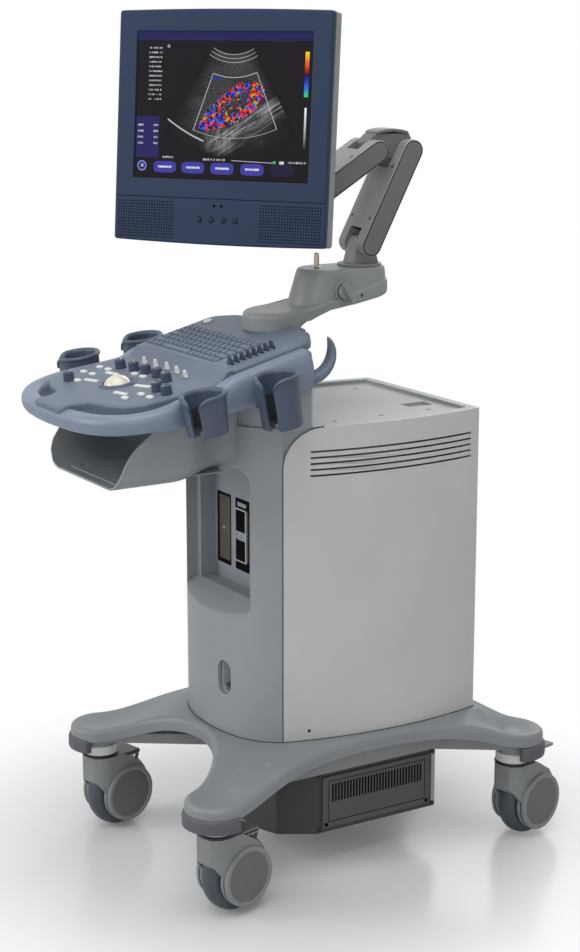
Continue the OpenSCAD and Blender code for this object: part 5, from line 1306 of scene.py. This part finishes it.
# keyboard: key widths in units for each row, from the operator's side
keyboard = {"rows": [(1, 1, 1, 6, 1, 1, 1, 1, 1, 1), (2,) + (1,) * 11 + (2,), (1.5,) + (1,) * 12 + (1.5,),
                     (1.75,) + (1,) * 12 + (1.25,), (1,) * 13 + (2,), (1,) * 15],
            "unit": 15.4, "left": -148, "gap": 0.9, "rowPitch": 14.6, "rowV": (14.9, 27.7),
            "z": [-5.6, -3, 0.4, 1.5, 1.9, 1.6], "shrink": np.array([0, 0.2, 1.3, 1.8, 2.5, 4.2])}


def keyCap(x0, x1, y0, y1):
    # rounded box that narrows upwards, its top a little hollow
    shrink = keyboard["shrink"]
    rings = blockRings(keyboard["z"], (x1 - x0) / 2 - shrink, (y1 - y0) / 2 - shrink, 20, 6)
    return loft(shifted(onKeys, (x0 + x1) / 2, (y0 + y1) / 2)(rings))


keyCaps = []
for row, spans in enumerate(keyboard["rows"]):
    ends = np.concatenate([[0], np.cumsum(spans)]) * keyboard["unit"] + keyboard["left"]
    y0, y1 = [v + keyboard["rowPitch"] * row for v in keyboard["rowV"]]
    keyCaps += [keyCap(a + keyboard["gap"], b - keyboard["gap"], y0, y1) for a, b in zip(ends, ends[1:])]
addPiece("keyCaps", keyCaps, "keys", "key_grey", ["keyboard_keys"], angle=60)

# toggle paddles narrow towards a domed top, slider grips have a hollow waist
paddle = {"spots": [(-71, 87), (-39, 90), (-4, 92), (34, 89), (70, 84)],
          "z": [0.6, 1.0, 3, 6.4, 9.4, 11, 12, 12.3], "wide": [5.6, 5.9, 5.2, 4.2, 3.6, 3.3, 2.6, 1.2],
          "deep": [3.6, 3.8, 3.4, 2.9, 2.6, 2.3, 1.7, 0.8], "points": 24, "power": 3.2}
slider = {"z": [0.5, 1.0, 3, 7, 10.4, 11.8, 12.2], "wide": [4.4, 4.7, 4.3, 3.8, 3.7, 3.2, 2.2],
          "deep": [3.8, 4.0, 3.5, 2.5, 2.2, 1.8, 1.1], "points": 20, "power": 4, "x": 118}
paddleRings, sliderRings = [blockRings(c["z"], c["wide"], c["deep"], c["points"], c["power"])
                            for c in (paddle, slider)]
paddles = [loft(shifted(onDeck, x, v)(paddleRings)) for x, v in paddle["spots"]]
addPiece("togglePaddles", paddles, "toggles", "key_white", ["toggle_switches"], angle=60)
grips = [loft(shifted(onKeys, slider["x"], v)(sliderRings)) for v in trackV]
addPiece("gainGrips", grips, "sliders", "knob_dark", ["gain_sliders"], angle=60)
ballShape = {"r": 25, "sink": 11, "hoop": [(22.9, -1), (22.9, 2.0), (23.6, 3.2), (25.5, 3.6), (28.4, 2.8),
                                           (30.2, 1.2), (30.8, -0.4), (30.8, -1)]}
lat = np.linspace(-1.5, 1.5, 28)  # radians, nearly from pole to pole
ballProfile = np.stack([ballShape["r"] * np.cos(lat), ballShape["r"] * np.sin(lat) - ballShape["sink"]], -1)
addPiece("trackBall", lathe(ballProfile, onDeck, 56), "ball", "ball_ivory", ["trackball"], angle=60)
ballRing = turnedRing(ballShape["hoop"], onDeck, 72)
addPiece("ballRing", ballRing, "cart", "cup_blue", ["trackball_ring"], angle=40)
print("stage: controls")

# storage tray: a U-section whose walls end on a swept edge below the console
tray = {"half": 128.0, "z": 682.0, "r": 40.0, "wall": 3.5, "front": -367.0, "back": -112, "under": 48.6,
        "edgeY": [-367, -364, -358, -346, -330, -312, -297], "edgeZ": [690, 706, 724, 742, 757, 772, 790],
        "drawIn": 46, "drawFrom": -262, "drawOver": 120, "lap": 1.5, "mat": (-84, 84, -350, -160),
        "matZ": (685, 687), "spots": ((-70, -335), (70, -335), (0, -230)),
        "spot": [(3.2, 686), (3.2, 687.3), (2.2, 687.8)]}


def frontOf(x):
    # plan line of the column's front at one place across
    loop = bodyLoop[bodyLoop[:, 1] < -60]
    half = loop[loop[:, 0] >= 0]
    return np.interp(np.abs(x), half[:, 0], half[:, 1])


def traySection(y, s, inset):
    # place on the U at share s of its length from middle to edge, for a wall that ends at the swept edge
    deckY, deckZ = stand["deck"]["at"][1:]
    under = deckZ + (y - deckY) * math.tan(math.radians(stand["deck"]["lean"])) - tray["under"]
    top = np.minimum(np.interp(y, tray["edgeY"], tray["edgeZ"]), under)
    pull = smoothStep(np.clip((y - tray["drawFrom"]) / tray["drawOver"], 0, 1))
    flatHalf = tray["half"] - tray["r"] - tray["drawIn"] * pull
    bendZ = tray["z"] + tray["r"]
    turn = np.arccos(np.clip((bendZ - top) / tray["r"], 0, 1))
    run = s * (flatHalf + tray["r"] * turn + np.maximum(top - bendZ, 0))
    a = np.clip((run - flatHalf) / tray["r"], 0, math.pi / 2)
    r = tray["r"] - inset
    x = np.minimum(run, flatHalf) + r * np.sin(a)
    z = bendZ - r * np.cos(a) + np.maximum(run - flatHalf - tray["r"] * math.pi / 2, 0)
    return x, z


# t is the share of the way back to the column, closer in front, and s that round the U
t = np.concatenate([np.linspace(0, 0.3, 26), np.linspace(0.32, 1, 16)])[:, None]
s = np.linspace(-1, 1, 81)
wallY = tray["front"] + t * (tray["back"] - tray["front"])
trayRows = []
for inset, order in ((0.0, s), (tray["wall"], s[::-1])):
    x, z = traySection(wallY, np.abs(order)[None], inset)
    x = x * np.sign(order)[None]
    y = tray["front"] + t * (frontOf(x) + tray["lap"] - tray["front"])
    trayRows.append(np.stack([x, y, z], -1))
addPiece("storageTray", loft(np.concatenate(trayRows, 1)), "cart", "tray_grey", ["storage_tray"], angle=50)
mat = roundCorners(box2(*tray["mat"]), 10, 6)
addPiece("trayMat", plate([mat], edgeRound(*tray["matZ"], 1, 3), plain), "cart", "bay_grey")
traySpots = [lathe(tray["spot"], shifted(plain, x, y), 16) for x, y in tray["spots"]]
addPiece("traySpots", traySpots, "cart", "screw_black")

# arm: the casting's heights are listed along y
armBase = {"footR": 53, "tailR": 47, "y": (-16, 148), "over": 907,
           "topY": [-69, -16, 20, 60, 100, 148, 196], "topZ": [921, 924, 928, 936, 946, 959, 967],
           "lowY": [-69, 2, 12, 32, 62, 118, 196], "lowZ": [889.6, 889.6, 898, 911, 921, 928, 941],
           "layers": [(3, 0), (0.8, 0.05), (0, 0.14), (0, 0.72), (0.9, 0.86), (3.2, 0.95), (8, 1.0)],
           "humpZ": [916, 930, 936, 942, 950, 964, 976, 981, 984, 985],
           "humpR": [47, 46.8, 46.4, 46, 45.2, 44, 42.9, 42.2, 40.6, 38],
           "humpY": (62, 14), "humpSpan": (925, 60), "humpSink": 6,
           "screws": ((48.9, 56, 926), (47.4, 122, 941)), "screw": [(2.6, 0), (2.6, 0.9), (1.8, 1.2)],
           "pinY": 64, "pin": [(8, 984), (8, 986), (7, 987), (4.6, 987.4), (4.4, 1006), (4.2, 1008),
                               (3.2, 1010), (1, 1010.4)]}


def armHull():
    # two round ends joined by straight flanks
    b = armBase
    a0, a1 = np.linspace(math.pi, 2 * math.pi, 30), np.linspace(0, math.pi, 30)
    foot = np.stack([b["footR"] * np.cos(a0), b["y"][0] + b["footR"] * np.sin(a0)], -1)
    tail = np.stack([b["tailR"] * np.cos(a1), b["y"][1] + b["tailR"] * np.sin(a1)], -1)
    return dense(np.concatenate([foot, tail]), 8)


def castLow(y):
    # height of the casting's underside along the arm
    return np.interp(y, armBase["lowY"], armBase["lowZ"])


def onCasting(p):
    # depth 0 to 1 runs between the casting's rising underside and its top
    p = plain(p)
    high = np.interp(p[:, 1], armBase["topY"], armBase["topZ"])
    off = np.clip(np.hypot(p[:, 0], p[:, 1] - armBase["y"][0]) - armBase["footR"] + 0.2, 0, 1)
    low = np.maximum(castLow(p[:, 1]), armBase["over"] * off)
    return np.concatenate([p[:, :2], (low + (high - low) * p[:, 2])[:, None]], 1)


def humpRing(z, r):
    # bar with round ends that shortens upwards, kept inside the casting
    b = armBase
    front = b["humpY"][0] + b["humpY"][1] * (z - b["humpSpan"][0]) / b["humpSpan"][1]
    loop = pill2((0, front), (0, b["y"][1]), r, 24)
    return np.column_stack([loop, np.maximum(z, castLow(loop[:, 1]) + b["humpSink"])])


# the lock's profiles are (radius, distance from the arm's middle)
lock = {"at": (0, 86, 950), "boss": [(19, 30), (18, 44), (17, 50.5), (15.5, 51), (9, 51)],
        "gap": [(13.8, 50.6), (13.8, 51.2), (4, 51.2)],
        "grip": [(12.6, 51.6), (13, 52.2), (13, 57), (12, 59), (8, 59.6), (3, 59.6)],
        "wing": ((-5, 11), (9, -15), 5.1), "wingX": (58, 68)}
lockPlace = across(shifted(plain, *lock["at"]), sideView)
casting = [plate([armHull()], armBase["layers"], onCasting, 8),
           loft(np.stack([humpRing(z, r) for z, r in zip(armBase["humpZ"], armBase["humpR"])])),
           lathe(lock["boss"], lockPlace)]
addPiece("armCasting", casting, "arm", "arm_grey", ["arm_base"], angle=50)
screws = [lathe(armBase["screw"], across(shifted(plain, *at), sideView), 16) for at in armBase["screws"]]
addPiece("armScrews", screws, "arm", "screw_black")
addPiece("parkPin", lathe(armBase["pin"], shifted(plain, 0, armBase["pinY"]), 32), "arm", "pin_steel")
addPiece("lockGap", lathe(lock["gap"], lockPlace), "arm", "hole_black")
wing = plate([pill2(*lock["wing"])], edgeRound(*lock["wingX"], 2, 4), lockPlace)
addPiece("lockKnob", [lathe(lock["grip"], lockPlace), wing], "lock", "arm_grey", ["arm_lock_knob"], angle=45)

# turret, links, elbow and wrist: outlines in y and z
linkSide = across(onLinks, sideView)
blockX = (-19.6, 19.6)
turret = {"disc": [(36, 985.4), (36.6, 986), (36.8, 987.4), (36, 988.8), (20, 989.2)],
          "tongue": [(126, 986), (176, 986), (164, 1024), (156, 1034), (143, 1034), (136, 1024)],
          "corners": [4, 4, 10, 10, 10, 10]}
turretDisc = lathe(turret["disc"], shifted(onLinks, 0, stand["links"]["axis"][1]), 64)
tongue = plate([roundCorners(turret["tongue"], turret["corners"], 6)], bothRound(*blockX, 2), linkSide)
addPiece("turretDisc", [turretDisc, tongue], "turret_body", "arm_grey", ["turret"], angle=45)
link = {"half": 18, "slotX": 20.4, "sideX": 46, "edge": 3.2, "shadeHalf": 17, "shadeX": 20.2,
        "shadeLead": (0.6, 0.4), "grooveR": 16.1, "grooveX": (44, 46.12), "panelR": 14.6,
        "panelX": (44, 46.9), "screwAt": (0.24, 0.78), "screwX": (-33, 33),
        "screw": [(2.8, -0.6), (2.8, 0.5), (2.0, 0.8)]}


def linkCross(near, far, out, x):
    # block across the link from near to far, as deep as out to both sides
    loop = np.array([near + out, near - out, far - out, far + out])
    return plate([loop], straight(-x, x), linkSide)


def onLinkEdge(spot, x, step, out):
    # across the link, along it, and out of its upper edge
    return lambda p: onLinks(np.concatenate(
        [p[..., :1] + x, spot + p[..., 1:2] * step + p[..., 2:] * out], -1))


def linkArm(name, a, b, deepA, deepB, body, node):
    # two cheeks with rounded edges, a middle between the slots, and an inlaid panel on each side
    c, a, b = link, np.array(a), np.array(b)
    step = (b - a) / np.linalg.norm(b - a)
    out = np.array([-step[1], step[0]])
    cheeks = platePair(pill2(a, b, c["half"]), edgeRound(c["slotX"], c["sideX"], c["edge"], 4), linkSide)
    middle = linkCross(a + step * deepA, b - step * deepB, out * c["half"], c["slotX"])
    addPiece(name, cheeks + [middle], body, "arm_grey", [node], angle=45)
    # thin near-black plates at the inner ends of both slots: painted shade deep in the slots
    starts = (a + step * (deepA - c["shadeLead"][0]), b - step * (deepB + c["shadeLead"][1]))
    shades = [linkCross(start, start + step, out * c["shadeHalf"], c["shadeX"]) for start in starts]
    addPiece(name + "Shades", shades, body, "hole_black")
    grooves = platePair(pill2(a, b, c["grooveR"]), straight(*c["grooveX"]), linkSide)
    addPiece(name + "Groove", grooves, body, "hole_black")
    # the inlaid panels take the darker arm_dark grey: painted shade on the link's side
    panels = platePair(pill2(a, b, c["panelR"]), edgeRound(*c["panelX"], 0.8, 3), linkSide)
    addPiece(name + "Panel", panels, body, "arm_dark", angle=50)
    spots = [a + (b - a) * share + out * c["half"] for share in c["screwAt"]]
    heads = [lathe(c["screw"], onLinkEdge(spot, x, step, out), 16) for spot in spots for x in c["screwX"]]
    addPiece(name + "Screws", heads, body, "screw_black")


linkArm("lowerLink", (149, 1020.0), (223.52, 1172.8), 22, 40, "lower_link", "lower_arm")
linkArm("upperLink", (4.69, 1070.95), (161.52, 1172.8), 22, 22, "upper_link", "upper_arm")
elbow = {"plan": [(150, 1160), (235, 1160), (236, 1184), (228, 1200), (166, 1200), (150, 1186)],
         "corners": [12, 12, 8, 3, 3, 10], "cap": (-22, 22, 166, 228), "capZ": (1197.5, 1203.2),
         "rise": 4.5, "fall": 5.5, "mid": 196, "half": 32}


def onCap(p):
    # the cap falls by a parabola to both sides of its middle
    fall = elbow["fall"] * ((p[..., 1] - elbow["mid"]) / elbow["half"]) ** 2
    return onLinks(np.stack([p[..., 0], p[..., 1], p[..., 2] + elbow["rise"] - fall], -1))


capLoop = dense(roundCorners(box2(*elbow["cap"]), 6, 6), 6)
elbowParts = [plate([roundCorners(elbow["plan"], elbow["corners"], 6)], bothRound(*blockX, 2), linkSide),
              plate([capLoop], bothRound(*elbow["capZ"], 2, 3), onCap, 8)]
addPiece("elbowBlock", elbowParts, "elbow", "arm_dark", ["elbow_block"], angle=45)
wrist = {"plan": ((-31.3, 1070.95), (4.69, 1070.95), 13.6), "hubY": -31.3,
         "hub": [(18, 1057.4), (19.6, 1059), (19.6, 1091), (18.6, 1093.2)]}
wristParts = [plate([pill2(*wrist["plan"])], bothRound(*blockX, 2), linkSide),
              lathe(wrist["hub"], shifted(onLinks, 0, wrist["hubY"]))]
addPiece("wristBlock", wristParts, "wrist", "arm_dark", ["wrist_block"], angle=45)

# yoke: a flat disc on the wrist, a wide leaning bar and the tilt pin
yoke = {"disc": [(20, 1094.1), (23.4, 1094.6), (24, 1096), (24, 1102), (23, 1103.6), (10, 1104)],
        "bar": ((-46.6, 1132.8), (-15, 1102), 7.4), "barX": (-25.8, 25.8),
        "pin": [(5, -40), (5, 40), (3.6, 40.8)]}
yokeParts = [lathe(yoke["disc"], onYoke, 56),
             plate([pill2(*yoke["bar"])], bothRound(*yoke["barX"], 2), across(onYoke, sideView))]
addPiece("monitorYoke", yokeParts, "yoke", "arm_dark", ["monitor_yoke"], angle=45)
pinPlace = across(shifted(onYoke, 0, *yoke["bar"][0]), sideView)
addPiece("tiltPin", lathe(yoke["pin"], pinPlace, 28), "yoke", "pin_steel")
print("stage: arm")

panelSeam = {"r": 65.5, "top": 757, "y": -88.6, "foot": 237, "gap": 2, "points": (20, 16),
             "half": (0.5, 1.1)}


def seamTubes():
    # dark joint round the front edge of each side panel: a thin ring carried up the body's side and then
    # over an arc
    c = panelSeam
    turn = np.radians(np.linspace(180, 90, c["points"][1]))
    y = np.concatenate([np.full(c["points"][0], c["y"]), c["y"] + c["r"] + c["r"] * np.cos(turn)])
    bendZ = c["top"] - c["r"]
    rise = np.linspace(c["foot"], bendZ - c["gap"], c["points"][0])
    z = np.concatenate([rise, bendZ + c["r"] * np.sin(turn)])
    path = np.stack([sideX(y), y, z], -1)
    outward = np.broadcast_to([1.0, 0, 0], path.shape)
    along = np.gradient(path, axis=0)
    along /= np.linalg.norm(along, axis=1)[:, None]
    halfW, halfH = [np.full(len(path), half) for half in c["half"]]
    return [tube(path * (k, 1, 1), outward, np.cross(along, outward), halfW, halfH, 2, 8) for k in (1, -1)]


addPiece("panelSeams", seamTubes(), "cart", "seam_dark", angle=60)

# ports in the connector bay: a blank plate with its screw, two sockets in metal frames
port = {"y": -79, "z": 492, "pitch": 60, "slot": (-22.4, 22.4, -2, 120), "slotZ": (-1, 0.5),
        "blank": (-13, 21, 6, 116), "blankZ": (0, 1.8), "screwAt": (4, 62),
        "screw": [(3.4, 1), (3.4, 3.4), (2.6, 4.2), (1, 4)],
        "frame": (-16, 20, 14, 105), "hole": (-13.4, 17.4, 16.6, 102.4), "frameZ": (0, 5.8),
        "core": (-13.8, 17.8, 16.2, 102.8), "coreZ": (0, 2.4),
        "latch": (-13, 17, 51, 66), "latchZ": (2, 5.2), "tab": (-11, 17, 108, 115), "tabZ": (0, 4),
        "knobAt": (2, 58.5), "knob": [(4.2, 5), (4.2, 6), (3, 6.6)],
        "combX": (-10.5, 14.5), "combV": (21, 100, 5.2), "combHalf": 1.3, "combGap": 11,
        "combLayers": [(0, 2), (0.3, 3.4)]}
onPort = {k: facing(k * port["pitch"], port["y"], port["z"], -1) for k in (-1, 0, 1)}
slotLoop = roundCorners(box2(*port["slot"]), 2, 4)
# near-black plates in the port openings: painted shade in the recesses round the plates and sockets
portShades = [plate([slotLoop], straight(*port["slotZ"]), place) for place in onPort.values()]
addPiece("portShades", portShades, "cart", "hole_black")
blank = plate([roundCorners(box2(*port["blank"]), 1.5, 4)], edgeRound(*port["blankZ"], 0.5, 2), onPort[-1])
addPiece("blankPlate", blank, "cart", "plate_tan", ["front_ports"])
blankScrew = lathe(port["screw"], shifted(onPort[-1], *port["screwAt"]), 24)
addPiece("blankScrew", blankScrew, "cart", "port_metal")
frameLoops = [roundCorners(box2(*port["frame"]), 1.6, 4), roundCorners(box2(*port["hole"]), 1, 4)]
frameLayers = [edgeRound(*port["frameZ"], 0.8, 3), edgeRound(*port["frameZ"], 0.4, 2)]
latchLoop = roundCorners(box2(*port["latch"]), 1.5, 4)
tabLoop = roundCorners(box2(*port["tab"]), 1, 4)
combV = np.arange(*port["combV"])
combV = combV[abs(combV - port["knobAt"][1]) > port["combGap"]]
combBoxes = [box2(*port["combX"], v - port["combHalf"], v + port["combHalf"]) for v in combV]
frames, cores, latches, combs = [], [], [], []
for place in (onPort[0], onPort[1]):
    frames.append(plate(frameLoops, frameLayers, place))
    cores.append(plate([box2(*port["core"])], straight(*port["coreZ"]), place))
    latches.append(plate([latchLoop], edgeRound(*port["latchZ"], 0.8, 3), place))
    latches.append(lathe(port["knob"], shifted(place, *port["knobAt"]), 24))
    latches.append(plate([tabLoop], edgeRound(*port["tabZ"], 0.8, 3), place))
    combs += [plate([roundCorners(box, 0.6, 3)], port["combLayers"], place) for box in combBoxes]
addPiece("socketFrames", frames, "cart", "port_metal")
addPiece("socketCores", cores, "cart", "hole_black")
addPiece("socketLatches", latches, "cart", "supply_metal")
addPiece("socketCombs", combs, "cart", "hole_black")

# small pocket below the bay: lining, floor and a jack
pocket = {"at": (50, -123, 331), "half": 13, "liningR": (15.6, 12.6), "liningZ": (0, 17), "floorR": 14,
          "floorZ": (-2, 0.6), "jackAt": (1, -14),
          "jack": [(4.6, 0), (4.6, 14.4), (3.9, 15.4), (2.6, 15.6), (2.4, 11)],
          "bore": [(2.5, 12), (2.5, 15), (0.4, 15)]}
pocketFace = facing(*pocket["at"], -1)
pocketEnds = ((0, -pocket["half"]), (0, pocket["half"]))
liningLoops = [pill2(*pocketEnds, r, 16) for r in pocket["liningR"]]
liningLayers = [edgeRound(*pocket["liningZ"], r, 3) for r in (0.8, 1.6)]
addPiece("pocketLining", plate(liningLoops, liningLayers, pocketFace), "cart", "neck_light")
pocketFloor = plate([pill2(*pocketEnds, pocket["floorR"], 16)], straight(*pocket["floorZ"]), pocketFace)
addPiece("pocketFloor", pocketFloor, "cart", "neck_light")
jackFace = shifted(pocketFace, *pocket["jackAt"])
addPiece("pocketJack", lathe(pocket["jack"], jackFace, 32), "cart", "plate_tan")
addPiece("jackBore", lathe(pocket["bore"], jackFace, 20), "cart", "hole_black")

# rear: power inlet with its blades, and screws round the cover
inlet = {"plan": [(70.6, 276.6), (103.4, 276.6), (103.4, 296), (98, 301.4), (76, 301.4), (70.6, 296)],
         "hollow": [(75, 281), (99, 281), (99, 293), (95, 297), (79, 297), (75, 293)], "z": (-3, 1.4),
         "floor": (74, 100, 280, 298), "floorZ": (-3.4, -2.4), "y": 281,
         "blades": ((80, 290), (87, 286.5), (94, 290)), "bladeHalf": (1, 3),
         "bladeLayers": [(0, -3), (0.3, 0.4)], "screwX": (-140, 140), "screwZ": (262, 420, 580, 738),
         "screw": [(3.8, -0.4), (3.8, 0.8), (2.8, 1.5), (1, 1.6)]}
rearFace = facing(0, inlet["y"], 0, 1)
inletLoops = [roundCorners(inlet["plan"], 1.2, 3), roundCorners(inlet["hollow"], 1, 3)]
inletLayers = [edgeRound(*inlet["z"], 0.6, 3), edgeRound(*inlet["z"], 0.4, 2)]
addPiece("inletShell", plate(inletLoops, inletLayers, rearFace), "cart", "button_black")
inletFloor = plate([box2(*inlet["floor"])], straight(*inlet["floorZ"]), rearFace)
addPiece("inletFloor", inletFloor, "cart", "inner_dark")
bladeX, bladeZ = inlet["bladeHalf"]
bladeLoops = [box2(x - bladeX, x + bladeX, z - bladeZ, z + bladeZ) for x, z in inlet["blades"]]
blades = [plate([loop], inlet["bladeLayers"], rearFace) for loop in bladeLoops]
addPiece("inletBlades", blades, "cart", "port_metal")
rearSpots = [(x, z) for x in inlet["screwX"] for z in inlet["screwZ"]]
rearScrews = [lathe(inlet["screw"], shifted(rearFace, x, z), 24) for x, z in rearSpots]
addPiece("rearScrews", rearScrews, "cart", "screw_black")
print("stage: ports and rear")

# floor: pale under the object, where it takes the shadow, and white to the camera further away
floorSetup = {"half": 9.0, "colour": (236, 237, 239), "glow": 0.08, "near": 0.3, "far": 0.8, "rough": 0.22}
floorMesh = bpy.data.meshes.new("studioFloor")
floorPoints = np.column_stack([box2(-1, 1, -1, 1) * floorSetup["half"], np.zeros(4)])
floorMesh.from_pydata(floorPoints.tolist(), [], [(0, 1, 2, 3)])
studioFloor = bpy.data.objects.new("studioFloor", floorMesh)
scene.collection.objects.link(studioFloor)
sockets, coords = newFinish("floor_pale")
sockets["Base Color"].default_value = paint(*floorSetup["colour"])
sockets["Roughness"].default_value = floorSetup["rough"]
tree = coords.tree
rays = tree.nodes.new("ShaderNodeLightPath").outputs
white = coords.make("ShaderNodeEmission", {}, {"Color": (1, 1, 1, 1), "Strength": 1.0})
seen = Wire(tree, rays["Is Camera Ray"]) + Wire(tree, rays["Is Transmission Ray"])
shaded = Wire(tree, tree.nodes["Principled BSDF"].outputs[0])
away = coords.make("ShaderNodeVectorMath", {"operation": "LENGTH"}, {0: coords}, 1)
limits = {0: away, 1: floorSetup["near"], 2: floorSetup["far"], 3: floorSetup["glow"], 4: 1.0}
far = coords.make("ShaderNodeMapRange", {"interpolation_type": "SMOOTHSTEP"}, limits)
both = coords.make("ShaderNodeMixShader", {}, {0: seen * far, 1: shaded, 2: white})
feed(tree.nodes["Material Output"].inputs["Surface"], both)
floorMesh.materials.append(finishes["floor_pale"])

# world: white to the camera, nearly so in gloss, and a low even light on the object
airSetup = {"light": 0.26, "seen": 0.74, "gloss": 0.8}
world = bpy.data.worlds.new("studioAir")
scene.world = world
world.use_nodes = True
tree = world.node_tree
air = tree.nodes["Background"].inputs
rays = tree.nodes.new("ShaderNodeLightPath").outputs
seen = Wire(tree, rays["Is Camera Ray"]).either(Wire(tree, rays["Is Transmission Ray"]))
seen = seen.either(Wire(tree, rays["Is Glossy Ray"]) * airSetup["gloss"])
air["Color"].default_value = (1, 1, 1, 1)
feed(air["Strength"], seen * airSetup["seen"] + airSetup["light"])

lamps = {
    "skyPanel": {"place": (0.6, -0.6, 3.6), "aim": (0, 0, 0.7), "size": 3.2, "power": 60},
    "rightPanel": {"place": (2.7, -2.0, 1.9), "aim": (0, 0, 0.7), "size": 1.6, "power": 18},
    "frontPanel": {"place": (-1.2, -3.2, 1.9), "aim": (0, 0, 0.8), "size": 2.0, "power": 36},
    "backPanel": {"place": (-2.2, 2.6, 2.4), "aim": (0, 0, 0.9), "size": 2.0, "power": 18},
}
for name, lamp in lamps.items():
    glow = bpy.data.lights.new(name, "AREA")
    glow.shape = "DISK"
    glow.size = lamp["size"]
    glow.energy = lamp["power"]
    holder = bpy.data.objects.new(name, glow)
    holder.location = lamp["place"]
    aim = Vector(lamp["aim"]) - Vector(lamp["place"])
    holder.rotation_euler = aim.to_track_quat("-Z", "Y").to_euler()
    scene.collection.objects.link(holder)
print("stage: floor and light")
